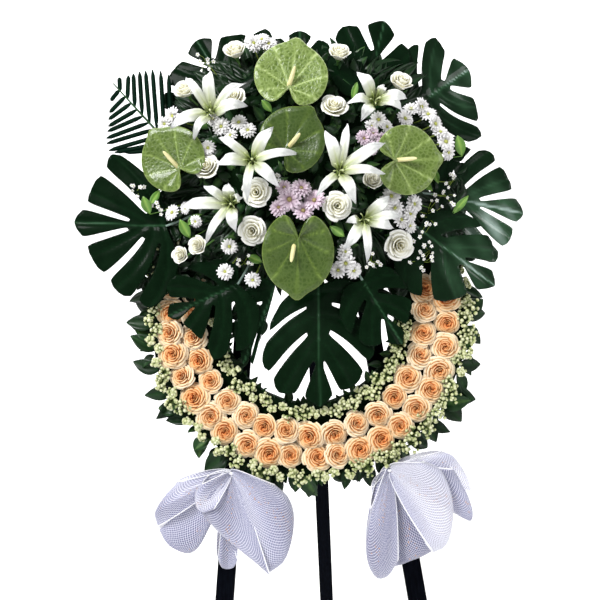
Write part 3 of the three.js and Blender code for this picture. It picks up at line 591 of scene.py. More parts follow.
def rose_head(openness, whorls=WHORLS):
    forms = []
    turn = rng.uniform(0, 6)
    for radius, height, count, spread in whorls:
        for i in range(count):
            step = turn + 2 * math.pi * i / count + rng.uniform(-0.1, 0.1)
            wide = 0.4 * radius + 0.6 * radius * openness
            tall = height + (1 - openness) * (1.25 - height)
            forms.append(rose_petal(step, spread, wide * rng.uniform(0.96, 1.04), tall,
                                    (0.035 + 0.12 * radius) * openness))
        turn += 0.9
    return gather([thickened(gather(forms), PETAL_WALL), CALYX])


open_roses = [rose_head(openness) for openness in (1.0, 0.97, 0.92)]
half_open_roses = [rose_head(openness, WHITE_WHORLS) for openness in (0.9, 0.74, 0.5)]
print("rose head:", len(open_roses[0].faces), "faces")

# %% [markdown]
# The ring carries two rows of open roses. Their middles follow two circles at an even step, with
# a little drift in size and lean, because each was pushed into the foam by hand.

# %% Peach roses round the ring
ROSE_ROWS = {"outer": {"radius": 301, "first": 167, "step": 9.55, "head": 28.2,
                       "breaks": (0, 8, 15, 23)},
             "inner": {"radius": 251, "first": 166.5, "step": 11.6, "head": 27.2,
                       "breaks": (0, 6, 13, 19)}}
ROSE_SEAT = -22
PARTS_OF_RING = ("left", "low", "right")


def polar(degrees, radius, depth):
    a = math.radians(degrees)
    return np.array([radius * math.cos(a), depth, radius * math.sin(a)])


for row_name, row in ROSE_ROWS.items():
    for part, first, last in zip(PARTS_OF_RING, row["breaks"], row["breaks"][1:]):
        heads = []
        for i in range(first, last):
            place = polar(row["first"] + i * row["step"] + rng.uniform(-1, 1),
                          row["radius"] + rng.uniform(-2.5, 2.5), ROSE_SEAT)
            lean = leaning(0.3)
            size = row["head"] * rng.uniform(0.92, 1.08)
            head = rng.choice(open_roses)
            tone = head.marks["tone"]
            tone = np.where(tone > 0.05, np.clip(tone + rng.uniform(-0.14, 0.06), 0.06, 1), tone)
            heads.append(placed(head, facing(place, lean, rng.uniform(0, 6), size), {"tone": tone}))
        finish_piece(f"roses_{row_name}_{part}", gather(heads), "peach", PEACH,
                     f"peach_roses_{row_name}_{part}")

# %% [markdown]
# White roses stand singly in the bouquet, some open and some still tight, each on its own stem.

# %% White roses
# each head: across, down, radius in the picture, how tight
WHITE_ROSES = {
    "top_left": [(237, 58, 12.5, 2), (189, 96, 12.5, 2), (235, 103, 12, 1)],
    "top_right": [(338, 60, 12, 2), (333, 112, 12.5, 1), (398, 89, 12.5, 2)],
    "left": [(210, 171, 12, 1), (201, 247, 10.5, 2), (184, 256, 9.5, 2)],
    "right": [(258, 193, 12, 0), (254, 230, 12, 0), (336, 206, 12, 0), (370, 184, 11, 2),
              (396, 244, 12.5, 0)],
}
ROSE_LIFT = 34
for part, heads in WHITE_ROSES.items():
    forms = []
    for u, v, pixels, kind in heads:
        place = over_bed(u, v, ROSE_LIFT)
        size = 1.18 * size_at(place, pixels)
        lean = outward(place, 0.4) + np.array([0, 0, 0.45 if kind else 0.1])
        forms.append(placed(half_open_roses[kind], facing(place, lean, rng.uniform(0, 6), size)))
        forms.append(stem_to_bed(place - 0.25 * size * unit(lean), tone=0.0))
    finish_piece(f"white_rose_heads_{part}", gather(forms), "white_rose", CREAM,
                 f"white_roses_{part}")

# %% [markdown]
# A spray chrysanthemum has rings of narrow petals round a small green button. The petals are
# troughs that lift more in each ring towards the middle. A flat star would look printed.

# %% Daisy heads
# each ring of petals: reach, number, lift; each head: across, down, radius in the picture
DAISY_RINGS = [(1.0, 15, 0.08), (0.95, 14, 0.26), (0.84, 12, 0.5), (0.62, 8, 0.8)]
DAISIES = {
    "daisies_left": [(253, 44, 10), (269, 45, 9), (239, 123, 9), (222, 127, 10), (174, 116, 10),
                     (208, 148, 8), (229, 247, 9), (225, 272, 9), (253, 279, 9), (248, 131, 9),
                     (231, 136, 8), (214, 119, 8), (165, 124, 8), (173, 213, 9), (186, 208, 7),
                     (262, 40, 8), (196, 221, 7)],
    "daisies_right": [(404, 119, 10), (420, 107, 10), (434, 124, 10), (445, 142, 10),
                      (378, 120, 9), (411, 110, 9), (428, 115, 9), (440, 133, 9), (447, 152, 9),
                      (386, 127, 8), (371, 127, 8)],
    "daisies_low_right": [(391, 196, 10), (413, 204, 10), (400, 220, 10), (346, 262, 11),
                          (383, 205, 9), (395, 208, 9), (409, 214, 9), (409, 226, 8),
                          (338, 270, 9), (353, 270, 9), (344, 252, 9)],
    "lilac_daisies": [(290, 199, 13), (315, 201, 12), (363, 139, 9), (382, 140, 9),
                      (279, 208, 10), (301, 189, 11), (303, 211, 11), (284, 188, 9),
                      (372, 133, 8), (390, 146, 8), (371, 148, 8)],
}


def spoke(a, far, across, up):
    """A point by its angle round a flower, how far out it is and how far to the side."""
    return (far * math.cos(a) - across * math.sin(a), far * math.sin(a) + across * math.cos(a), up)


def daisy_head(full):
    petals = []
    for reach, count, lift in DAISY_RINGS[:full]:
        turn = rng.uniform(0, 1)
        for i in range(count):
            a = turn + 2 * math.pi * (i + rng.uniform(-0.2, 0.2)) / count
            tilt = lift + rng.uniform(-0.12, 0.12)
            length = reach * rng.uniform(0.9, 1.04)

            def shape(s, t):
                half = 0.13 * np.sin(math.pi * (0.1 + 0.84 * t) ** 1.3) ** 0.7
                far = 0.12 + (length - 0.12) * t
                up = 0.06 + far * math.tan(tilt) * (1 - 0.35 * t) + 0.5 * half * s * s
                return spoke(a, far, half * s, up)
            petals.append(sheet_form(2, 4, shape, tone=lambda s, t: 0.3 + 0.7 * t))
    ball = primitive_form(bpy.ops.mesh.primitive_uv_sphere_add, segments=10, ring_count=6, radius=1)
    flat = np.diag([0.2, 0.2, 0.16, 1.0])
    flat[2, 3] = 0.2
    return gather([thickened(gather(petals), 0.02), placed(ball, flat, {"tone": 0.12})])


DAISY_LIFT = 44
LILAC_LIFT = 46
daisy_heads = [daisy_head(4), daisy_head(4), daisy_head(3)]
for node, heads in DAISIES.items():
    lilac = node == "lilac_daisies"
    forms = []
    for u, v, pixels in heads:
        place = over_bed(u, v, LILAC_LIFT if lilac else DAISY_LIFT)
        lean = outward(place, 0.3 if lilac else 0.4) + np.array(
            [rng.uniform(-0.55, 0.55), 0, rng.uniform(-0.3, 0.7)])
        size = size_at(place, pixels)
        forms.append(placed(rng.choice(daisy_heads), facing(place, lean, rng.uniform(0, 6), size)))
        forms.append(stem_to_bed(place, 1.6, tone=0.0))
    finish_piece(f"{node}_heads", gather(forms), "lilac" if lilac else "daisy",
                 LILAC if lilac else DAISY, node)

# %% [markdown]
# A lily is a trumpet of six long petals. Each leaves the deep throat, opens over its edge and
# bends back at the tip. A subdivided cone would keep six equal lobes, so the petal is a grid
# carried along its own soft curve: folded along its middle, widest past half way, and ruffled at
# its edges. Slim green stamens stand out of the throat.

# %% Lilies
# each lily: throat, height over the bed, petal tips
LILIES = {
    "left": ((251, 158), 92, [(273, 128), (299, 154), (279, 187), (247, 202), (217, 164),
                              (219, 138)]),
    "centre": ((340, 169), 92, [(325, 131), (347, 124), (384, 143), (384, 174), (355, 203),
                                (316, 196)]),
    "low_left": ((230, 202), 84, [(181, 207), (206, 243), (235, 231), (242, 197), (228, 184),
                                  (204, 186)]),
    "top_left": ((210, 110), 84, [(210, 71), (186, 78), (171, 128), (194, 140), (247, 106),
                                  (246, 83)]),
    "top_right": ((376, 98), 84, [(357, 73), (384, 86), (406, 98), (403, 111), (361, 120),
                                  (346, 104)]),
    "low_right": ((365, 218), 80, [(389, 197), (402, 216), (393, 228), (367, 262), (345, 249),
                                   (346, 222)]),
}
PETAL_STATIONS = 15
RUFFLE = 2.9


def lily_petal(throat, tip, broad):
    flat = (tip - throat) * [1, 0, 1]
    length = np.linalg.norm(flat)
    heading = flat / length
    middle = mix(throat, tip, 0.6)
    middle[1] = throat[1] - min(29, 0.38 * length)
    path = smooth([throat + 4 * heading + [0, 58, 0], throat + 8 * heading + [0, 30, 0],
                   throat + 15 * heading + [0, 4, 0], middle, tip], PETAL_STATIONS + 1)
    along = np.gradient(path, axis=0)
    along /= np.linalg.norm(along, axis=1)[:, None]
    across = unit(np.cross(heading, [0, 1, 0]))
    face = np.cross(across, along)
    turn = rng.uniform(0, 6)

    def shape(s, t):
        at = np.clip(t * PETAL_STATIONS, 0, PETAL_STATIONS).astype(int)
        belly = np.sin(math.pi * np.clip((t - 0.2) / 0.84, 0, 1) ** 0.95) ** 0.7
        half = broad * (0.24 + 0.76 * belly)
        half = half * np.where(t > 0.8, np.sqrt(np.clip((1.0 - t) / 0.2, 0.03, 1)), 1)
        fold = 0.52 * half * np.abs(s) ** 1.5 * (1 - t * 0.8) - 1.6 * np.exp(-(s / 0.16) ** 2)
        wave = RUFFLE * s * s * np.sin(17 * t + turn + 1.3 * np.sign(s)) * np.clip(3 * t - 0.8, 0, 1)
        curl = -0.9 * half * s * s * np.clip(t - 0.5, 0, 1)
        rise = (fold + wave + curl) * np.sign(face[at][:, 1])
        spot = path[at] + across * (half * s)[:, None] + face[at] * rise[:, None]
        return spot.T
    # Tone: greener towards the throat, with fine stripes along the petal. The dip along its middle near
    # the throat is the petal's green midrib together with painted shade in its groove.
    return sheet_form(8, PETAL_STATIONS, shape, tone=lambda s, t: np.clip(
        t * 0.98 - 0.3 * np.exp(-(s / 0.17) ** 2) * np.clip(1.9 - 2 * t, 0, 1)
        - 0.07 * np.abs(np.sin(9 * s)), 0, 1))


for part, (throat, lift, tips) in LILIES.items():
    mouth = over_bed(*throat, lift)
    forms = []
    for i, (u, v) in enumerate(tips):
        tip = seen(u, v, mouth[1] + (24 if i % 2 else 12))
        forms.append(lily_petal(mouth, tip, 9 if i % 2 else 12.5))
    bloom = [thickened(gather(forms), 0.8)]
    for i in range(6):
        a = i * math.pi / 3 + 0.3
        spread = np.array([math.cos(a), 0, math.sin(a)])
        top = mouth + [0, -24, -3] + 12 * spread
        bloom.append(tube(smooth([mouth + [0, 50, 0] + 2 * spread, mouth + [0, 8, 0] + 5 * spread,
                                  top], 8), 0.8, 5, tone=0.24))
        bloom.append(tube([top, mouth + [0, -26, -3] + 15 * spread], [1.5, 1.1], 5, tone=0.3))
    bloom.append(tube(smooth([mouth + [0, 54, 0], mouth + [1, 0, -2], mouth + [4, -40, -8]], 9),
                      [1.6] * 7 + [1.5, 2.6], 6, tone=0.3))
    foot = mouth.copy()
    foot[1] = dome_front(foot[0], foot[2]) + 8
    bloom.append(tube([foot, mouth + [0, 58, 0], mouth + [0, 46, 0]], [2.6, 3.4, 5.5], 8, tone=0.02))
    finish_piece(f"lily_bloom_{part}", gather(bloom), "lily", LILY, f"lily_{part}")

# %% [markdown]
# An anthurium's spathe is one thick waxy heart, with veins pressed into it and a spadix that
# stands on it. A square grid would leave steps at the rim, so the heart is built in rings from
# its middle to its rim. The veins' marks sink the surface and make it paler.

# %% Anthuriums
# each: middle, width, length, way its point hangs, height, spadix ends, net, base tone
ANTHURIUMS = {
    "top": ((291, 76), 74, 67, 80, 72, ((288, 88), (295, 66)), 1.0, 0.38),
    "left": ((173, 159), 66, 64, 118, 70, ((179, 168), (163, 151)), 0.5, 0.24),
    "centre": ((292, 140), 66, 66, 58, 66, ((289, 146), (300, 133)), 0.16, 0.02),
    "right": ((406, 160), 70, 64, 10, 70, ((395, 160), (417, 158)), 0.6, 0.34),
    "low": ((298, 252), 72, 82, 268, 74, ((294, 245), (291, 262)), 0.22, 0.1),
}
VEIN_ANGLES = (0, 0.42, -0.42, 0.95, -0.95, 1.6, -1.6, 2.3, -2.3)
HEART_STEPS = 72
HEART_RINGS = 26
ROD_STEPS = 26
ROD_SIDES = 14
ROD_RADIUS = 4.4


def spathe_form(wide, tall, netted, base):
    """A heart whose point lies along +X and that faces +Z."""
    turn = 2 * math.pi * (np.arange(HEART_STEPS) + 0.5) / HEART_STEPS - math.pi
    rim = (1 + 0.16 * np.exp(-(turn / 0.2) ** 2)
           - 0.62 * np.exp(-((math.pi - np.abs(turn)) / 0.25) ** 2))
    rings = np.linspace(0.02, 1, HEART_RINGS)
    x = np.outer(rings, 0.51 * rim * np.cos(turn)).ravel() * tall
    y = np.outer(rings, 0.5 * rim * np.sin(turn)).ravel() * wide
    share = np.repeat(rings, HEART_STEPS)
    root = -0.2 * tall
    angle_here = np.arctan2(y, x - root)
    far = np.hypot(x - root, y)
    vein = np.zeros(len(x))
    for vein_angle in VEIN_ANGLES:
        bent = vein_angle * (1 + 0.0022 * far)
        vein = np.maximum(vein, np.exp(-(np.abs(angle_here - bent) * far / (1.3 + 0.012 * far)) ** 2))
    height = 7 * share ** 2 - 1.3 * vein + 2.2 * share * np.sin(5 * angle_here + 1)
    height = height - 4.5 * np.clip(share - 0.86, 0, 1) / 0.14
    height = height + 6 * share * np.exp(-((np.abs(angle_here) - 2.5) / 0.4) ** 2)
    # Tone: paler along the veins, with a thin paler band at the rim that is a painted highlight, and
    # darker towards the middle.
    tone = np.clip(base + 0.4 * vein * (0.75 + netted)
                   + 0.4 * np.clip(share - 0.965, 0, 1) / 0.035 - 0.16 * (1 - share), 0, 1)
    faces = [(a, d, c, b) for a, b, c, d in band(HEART_RINGS, HEART_STEPS)]
    faces.append(tuple(range(HEART_STEPS)))
    return thickened(Form(np.stack([x, y, height], 1), faces, {"tone": tone, "net": netted}), 1.6)


def spadix_rod(low, high):
    """A round-ended rod with small bumps all over."""
    line = np.array([mix(low, high, k / ROD_STEPS) for k in range(ROD_STEPS + 1)])
    radii = ROD_RADIUS * np.sqrt(np.clip(1 - np.linspace(-0.25, 1, ROD_STEPS + 1) ** 4, 0.02, 1))
    rod = tube(line, radii, ROD_SIDES)
    bumps = 0.32 * np.array([(-1) ** (k + j) for k in range(ROD_STEPS + 1) for j in range(ROD_SIDES)])
    out = rod.points - np.repeat(line, ROD_SIDES, axis=0)
    out /= np.maximum(1e-6, np.linalg.norm(out, axis=1))[:, None]
    return Form(rod.points + out * bumps[:, None], rod.faces,
                {"tone": np.repeat(np.linspace(0.2, 1, ROD_STEPS + 1), ROD_SIDES)})


for part, (middle, wide, tall, point, lift, ends, netted, base) in ANTHURIUMS.items():
    place = over_bed(*middle, lift)
    scale = size_at(place, 1)
    upright = np.array(Matrix.Rotation(math.pi / 2, 4, "Z"))
    matrix = facing(place, outward(place, 0.16), math.radians(point - 90))
    heart = spathe_form(wide * scale, tall * scale, netted, base)
    stem = stem_to_bed(place + [0, 4, 0], 2.6, tone=0.2)
    finish_piece(f"spathe_{part}", gather([placed(placed(heart, upright), matrix), stem]),
                 "anthurium", SPATHE, f"anthurium_{part}")
    rod = spadix_rod(seen(*ends[0], place[1] + 1), seen(*ends[1], place[1] - 22))
    finish_piece(f"spadix_rod_{part}", rod, "spadix", SPADIX, f"spadix_{part}")

# %% [markdown]
# A cut leaf is a broad blade with long fingers and open slots between them. Cutting slots into an
# oval gives square ends, so the outline is worked out from the finger tips, bowed and rounded.
# A fine grid of planes then bisects it, which gives it enough points to take the curve of the
# bouquet, sunken ribs and a raised blade between them.

# %% Cut leaves
# each leaf: hub, tip, height over the bed, fall beyond it, finger tips on one side and the other
CUT_LEAVES = {
    "left": [((166, 226), (74, 222), 26, 0, [(150, 308), (112, 292), (82, 260)],
              [(112, 154), (82, 188)])],
    "top_left": [((232, 98), (194, 34), 8, 0.25, [(158, 100), (165, 60)],
                  [(288, 44), (262, 20), (228, 22)])],
    "top": [((300, 84), (300, 28), 14, 0.2, [(262, 62), (270, 34)], [(332, 64), (328, 40)])],
    "top_middle": [((366, 96), (386, 15), 16, 0.25, [(328, 66), (344, 20)], [(412, 50)])],
    "top_right": [((414, 106), (474, 62), 8, 0.25, [(410, 44), (442, 28)],
                   [(452, 150), (486, 132), (488, 104)])],
    "right": [((436, 194), (527, 212), 20, 0.1, [(462, 146), (492, 150), (516, 176)],
               [(466, 260), (500, 262), (521, 240)])],
    "low_right": [((418, 228), (495, 286), 30, 0, [(468, 216), (496, 252)],
                   [(404, 288), (458, 304)])],
    "hole": [((318, 286), (320, 407), 24, 0, [(376, 306), (375, 346), (354, 394)],
              [(275, 319), (262, 360), (279, 399)])],
    "hole_right": [((362, 280), (402, 344), 34, 0, [(398, 276), (411, 318)],
                    [(342, 322), (372, 350)])],
    "low_left": [((238, 284), (168, 316), 36, 0, [(249, 346), (212, 360), (184, 332)],
                  [(206, 262), (164, 288)]),
                 ((276, 284), (243, 364), 29, 0, [(262, 334), (253, 364)], [(238, 300), (232, 340)])],
}
# Leaves with a painted sheen: its strength and the spot it centres on. The sheen is a painted
# reflection, a paler patch in the leaf's colour, and it also raises the clear coat there.
LEAF_PAINTED_SHEEN_AND_COAT = {"top_right": (0.5, (462, 76)), "right": (1.0, (494, 226)),
              "low_right": (0.55, (470, 264)), "hole": (0.12, (300, 320))}
PAINTED_SHEEN_REACH = 96
LEAF_SPREAD = {"left": 0.36, "right": 0.5}
SLOT_GRID = 5.0
BOW = 0.14


def cut_outline(hub, tip, fingers):
    """Broad fingers on a round outline, with a narrow slot between each two."""
    middle = mix(hub, tip, 0.42)

    def corner(a, b, share):
        """A point of the round outline, a share of the way from finger a to finger b."""
        way = mix(a[0], b[0], share) - middle
        far = mix(np.linalg.norm(a[0] - middle), np.linalg.norm(b[0] - middle), share)
        return middle + way / np.linalg.norm(way) * far * (1.02 - 0.3 * share ** 1.4)

    def slot_end(a, b):
        return mix(mix(a[1], b[1], 0.5), mix(a[0], b[0], 0.5), 0.24) + 0.045 * (a[0] - b[0])

    def flank(a, b, next_to_stalk):
        """From finger a's tip to the slot before finger b, or to the stalk away from b."""
        if next_to_stalk:
            return [mix(hub, a[0], 0.9) + 0.16 * (a[0] - b[0]), mix(hub, a[0], 0.45)
                    + 0.24 * (a[0] - b[0])]
        return [corner(a, b, 0.2), corner(a, b, 0.4), slot_end(a, b)]
    outline = [hub]
    last = len(fingers) - 1
    for i, finger in enumerate(fingers):
        before = flank(finger, fingers[i - 1] if i else fingers[1], i == 0)
        after = flank(finger, fingers[i + 1] if i < last else fingers[last - 1], i == last)
        outline += [*before[::-1], finger[0], *after]
    return outline


def bowed(points, hub, tip):
    """Fingers arch: their middles move towards the stalk."""
    axis = (tip - hub) / np.linalg.norm(tip - hub)
    out = np.array(points)
    side = (out - hub) @ np.array([-axis[1], axis[0]])
    reach = np.where(side > 0, max(1, side.max()), max(1, -side.min()))
    q = np.clip(np.abs(side) / reach, 0, 1)
    return out - axis * (BOW * reach * 4 * q * (1 - q))[:, None]


def trimmed_corners(points):
    after = np.roll(points, -1, axis=0)
    both = np.stack([0.75 * points + 0.25 * after, 0.25 * points + 0.75 * after], 1)
    return both.reshape(-1, 2)


def gridded(outline):
    """The outline as a mesh cut by planes along x and z."""
    work = bmesh.new()
    work.faces.new([work.verts.new((x, 0, z)) for x, z in outline])
    for axis, normal in ((0, Vector((1, 0, 0))), (2, Vector((0, 0, 1)))):
        low = min(v.co[axis] for v in work.verts)
        high = max(v.co[axis] for v in work.verts)
        for k in range(1, int((high - low) / SLOT_GRID) + 1):
            everything = work.verts[:] + work.edges[:] + work.faces[:]
            bmesh.ops.bisect_plane(work, geom=everything, dist=0.001,
                                   plane_co=normal * (low + k * SLOT_GRID), plane_no=normal)
    bmesh.ops.triangulate(work, faces=work.faces[:])
    bmesh.ops.remove_doubles(work, verts=work.verts[:], dist=0.05)
    work.verts.index_update()
    points = np.array([v.co[:] for v in work.verts])
    faces = [tuple(v.index for v in face.verts) for face in work.faces]
    work.free()
    return points, faces


def distance_to(points, line):
    best = np.full(len(points), 1e9)
    for a, b in zip(line, line[1:]):
        run = b - a
        t = np.clip((points - a) @ run / max(1e-9, run @ run), 0, 1)
        best = np.minimum(best, np.linalg.norm(points - (a + t[:, None] * run), axis=1))
    return best


def on_plane(points):
    return np.array([seen(u, v, -60)[[0, 2]] for u, v in points])


def cut_leaf(leaf, gloss, spread):
    hub, tip, offset, fall, left, right = leaf
    hub = np.array(hub, float)
    tip = np.array(tip, float)
    left, right = ([(np.array(end, float), mix(hub, tip, spread * (i + 0.35) / (len(tips) + 1)))
                    for i, end in enumerate(tips)] for tips in (left, right))
    fingers = [*left, (tip, mix(hub, tip, 0.94 * spread)), *right[::-1]]
    rough = cut_outline(hub, tip, fingers)
    rough = [mix(a, b, share) for a, b in zip(rough, rough[1:] + rough[:1]) for share in (0, 0.5)]
    outline = on_plane(trimmed_corners(trimmed_corners(bowed(rough, hub, tip))))
    points, faces = gridded(outline)
    flat = points[:, [0, 2]]
    side_ribs = np.full(len(flat), 1e9)
    for end, root in fingers:
        line = on_plane(bowed([mix(root, end, k / 8) for k in range(9)], hub, tip))
        side_ribs = np.minimum(side_ribs, distance_to(flat, line))
    midrib = distance_to(flat, on_plane([hub, tip]))
    dip = 2.6 * np.exp(-(side_ribs / 5) ** 2) + 3.2 * np.exp(-(midrib / 6) ** 2)
    swell = 3.6 * np.sin(flat[:, 0] / 31 + offset) * np.sin(flat[:, 1] / 27 + 1.3)
    points[:, 1] = leaf_depth(flat[:, 0], flat[:, 1], offset, fall) + dip + swell
    # Painted sheen: round the given spot the tone is raised in soft streaks as a painted reflection, and
    # the same amount raises the coat weight.
    shine, middle = gloss
    from_middle = np.linalg.norm(flat - on_plane([middle])[0], axis=1)
    sheen_streaks = 0.8 + 0.2 * np.sin(flat[:, 0] / 9 + flat[:, 1] / 14)
    painted_sheen = shine * sheen_streaks * np.exp(-(from_middle / PAINTED_SHEEN_REACH) ** 2)
    tone = np.clip(0.13 + 0.14 * np.exp(-(side_ribs / 3) ** 2) + 0.4 * np.exp(-(midrib / 2.6) ** 2)
                   + 0.7 * painted_sheen, 0, 1)
    start = seen(*hub, -60)
    start[1] = leaf_depth(start[0], start[2], offset, fall) + 2
    return gather([thickened(Form(points, faces, {"tone": tone, "gloss": 0.04 + painted_sheen}), 0.9),
                   stem_to_bed(start, 2.6, tone=0.9)])


for part, leaves in CUT_LEAVES.items():
    gloss = LEAF_PAINTED_SHEEN_AND_COAT.get(part, (0, (0, 0)))
    blades = [cut_leaf(leaf, gloss, LEAF_SPREAD.get(part, 0.72)) for leaf in leaves]
    finish_piece(f"cut_leaf_{part}", gather(blades), "monstera", DARK_LEAF, f"monstera_{part}")

# %% [markdown]
# A palm frond is a rib with narrow leaflets, each folded along its middle like a gutter.

# %% Palm frond
PALM_BASE = (176, 152)
PALM_TIP = (112, 82)
PALM_UP = [(168, 74), (160, 70), (152, 69), (145, 70), (139, 71), (133, 73), (128, 75), (119, 77)]
PALM_DOWN = [(124, 152), (114, 152), (108, 150), (106, 143), (106, 138), (107, 131), (108, 126),
             (108, 119), (109, 112), (110, 100)]
PALM_OFFSET = 14
PALM_HALF = 4.8
palm_from = seen(*PALM_BASE, -50)
palm_from[1] = leaf_depth(palm_from[0], palm_from[2], PALM_OFFSET, 0.15)
palm_to = seen(*PALM_TIP, -50)
palm_to[1] = palm_from[1] + 14


def palm_leaflet(root, end):
    across = unit(np.cross(end - root, [0, 1, 0]))
    sag = rng.uniform(2, 6)

    def shape(s, t):
        width = PALM_HALF * np.minimum(1, 0.35 + 4 * t) * np.sqrt(np.clip((1 - t) / 0.12, 0.06, 1))
        spot = root + (end - root) * t[:, None] + across * (width * s)[:, None]
        spot[:, 1] += 1.3 * np.abs(s) * width / PALM_HALF + sag * t * t
        return spot.T
    return sheet_form(2, 10, shape, tone=lambda s, t: 0.45 - 0.35 * np.abs(s))


palm_leaflets = []
for tips in (PALM_UP, PALM_DOWN):
    for i, (u, v) in enumerate(tips):
        share = (i + 0.5) / len(tips) * 0.95
        root = mix(palm_from, palm_to, share)
        palm_leaflets.append(palm_leaflet(root, seen(u, v, palm_from[1] + 14 * share)))
palm = gather([thickened(gather(palm_leaflets), 0.7),
               tube([palm_from, mix(palm_from, palm_to, 0.5), palm_to], [3.4, 2.4, 1.4], 8, tone=1.0),
               stem_to_bed(palm_from, 2.6, tone=0.9)])
finish_piece("palm_leaflets", palm, "palm", PALM, "palm_frond")

# %% [markdown]
# Small leaves ring the wreath, fill its inner edge and cover the bouquet's bed. All come from one
# formula, a pointed oval folded along its rib and bent down at its tip, because a flat oval
# catches the light all at once.

# %% Small leaves
def leaf_template(columns, rows, fold, droop, blunt=0.85):
    def shape(s, t):
        half = np.sin(math.pi * np.clip(t, 0.015, 0.985) ** blunt) ** 0.8
        lift = fold * np.abs(s) * half + 0.05 * np.sin(9 * t) * s * s - droop * t * t
        return half * s, t, lift
    blade = sheet_form(columns, rows, shape, tone=lambda s, t: 0.2 + 0.5 * np.exp(-(s / 0.16) ** 2)
                       + 0.12 * np.abs(np.sin(14 * t + 2 * np.abs(s))))
    return thickened(blade, 0.018)


ring_leaf = leaf_template(4, 9, 0.3, 0.28)
bed_leaf = leaf_template(2, 6, 0.3, 0.3)
round_leaf = leaf_template(4, 8, 0.16, 0.2, 1.15)


def laid(template, root, tip, half, front=(0, -1, 0), **marks):
    """A leaf from its root to its tip, with its face towards front."""
    along = np.asarray(tip, float) - root
    length = np.linalg.norm(along)
    y = along / length
    x = unit(np.cross(y, front))
    matrix = np.eye(4)
    matrix[:3] = np.stack([x * half, along, np.cross(x, y) * length * 0.55, root], 1)
    return placed(template, matrix, marks)


def toned(template, low, high):
    """The template's marks, darker or paler as a whole."""
    return np.clip(template.marks["tone"] * 0.7 + rng.uniform(low, high), 0, 1)


# each edge: the radius its leaves leave at, way they go, lengths, step in degrees, arcs
LEAF_EDGES = {
    "outer": (352, 1, (28, 40, 54), 2.7, (("left", 150, 225), ("low", 225, 300), ("right", 300, 375))),
    "inner": (188, -1, (15, 22, 28), 5.0, (("left", 180, 270), ("right", 270, 360))),
}
for side, (wall, way, lengths, step, arcs) in LEAF_EDGES.items():
    for part, start, end in arcs:
        forms = []
        for i in range(int((end - start) / step)):
            angle = start + (i + 0.5) * step + rng.uniform(-1.5, 1.5)
            length = rng.choice(lengths) * rng.uniform(0.85, 1.15)
            root = polar(angle, wall - way * rng.uniform(2, 16), rng.uniform(-14, 10))
            tip = root + way * polar(angle + rng.uniform(-42, 42), length, 0)
            tip[1] += rng.uniform(-22, 4)
            front = leaning(0.9)
            tone = toned(ring_leaf, -0.2, 0.06) if rng.random() < 0.75 else toned(ring_leaf, 0.1, 0.3)
            forms.append(laid(ring_leaf, root, tip, length * rng.uniform(0.26, 0.4), front, tone=tone))
        finish_piece(f"leaves_{side}_{part}", gather(forms), "leaf", RING_LEAF,
                     f"ring_leaves_{side}_{part}")

# %% [markdown]
# The bouquet grows from a dome of wet foam, which leaves hide. The dome is turned from rings of
# points. Short leaves cover it evenly, by the turn that seeds take in a flower head, and long
# dark ones lie behind the blooms and fill the gaps beside them.

# %% Bed of the bouquet
BED_STEPS = 40
BED_SHARES = (0.985, 0.93, 0.8, 0.6, 0.35, 0.1)
BED_LEAVES = 460
BED_TONES = ((-0.25, 0), (-0.25, 0), (-0.1, 0.1), (0.1, 0.34))
SEED_TURN = math.radians(137.5)
BACKING_LEAVES = 230
DARK_PATCHES = [((152, 192), (188, 250), 46), ((140, 240), (250, 300), 60),
                ((430, 462), (140, 240), 44), ((236, 262), (262, 330), 22),
                ((360, 402), (262, 300), 20)]


def on_dome(a, share):
    return DOME["x"] + share * DOME["wide"] * np.cos(a), DOME["z"] + share * DOME["tall"] * np.sin(a)


def bed_ring(share, depth):
    x, z = on_dome(2 * math.pi * np.arange(BED_STEPS) / BED_STEPS, share)
    return np.stack([x, np.full(BED_STEPS, depth), z], 1)


def backing_leaf(root, tip, halves, lean):
    front = leaning(lean)
    half = rng.uniform(*halves)
    return laid(ring_leaf, root, tip, half, front, tone=toned(ring_leaf, -0.35, 0.0))


rings = [bed_ring(0.1, DOME_BACK), bed_ring(0.96, DOME_BACK), bed_ring(1, DOME_BACK - 8)]
rings += [bed_ring(share, DOME_BACK - DOME["rim"] - DOME["rise"] * (1 - share ** 2))
          for share in BED_SHARES]
core = Form(np.concatenate(rings), capped_band(len(rings), BED_STEPS), {"tone": 0.0})
finish_piece("bed_foam", core, "foam", FOAM, "bouquet_bed")
forms = []
for i in range(BED_LEAVES):
    reach = math.sqrt((i + 0.5) / BED_LEAVES)
    a = i * SEED_TURN
    x, z = on_dome(a, reach)
    root = np.array([x, float(dome_front(x, z)) + 4, z])
    heading = unit(np.array([rng.uniform(-1, 1), -rng.uniform(0.25, 0.8), rng.uniform(-1, 1)])
                   + 0.8 * np.array([math.cos(a), 0, math.sin(a)]) * reach)
    tip = root + heading * rng.uniform(26, 44)
    if dome_reach(tip[0], tip[2]) < 1.14:
        half = rng.uniform(7, 11)
        forms.append(laid(bed_leaf, root, tip, half, tone=toned(bed_leaf, *rng.choice(BED_TONES))))
finish_piece("bed_leaves", gather(forms), "leaf", RING_LEAF)
forms = []
for i in range(BACKING_LEAVES):
    a = math.radians(118 + 304 * (i + rng.random()) / BACKING_LEAVES)
    x, z = on_dome(a, rng.uniform(0.74, 0.95))
    root = np.array([x, float(dome_front(x, z)) + 3, z])
    swerve = a + rng.uniform(-0.6, 0.6)
    tip = root + rng.uniform(52, 94) * np.array([math.cos(swerve), 0, math.sin(swerve)])
    tip[1] = leaf_depth(tip[0], tip[2], rng.uniform(2, 13), 0)
    forms.append(backing_leaf(root, tip, (11, 17), 0.4))
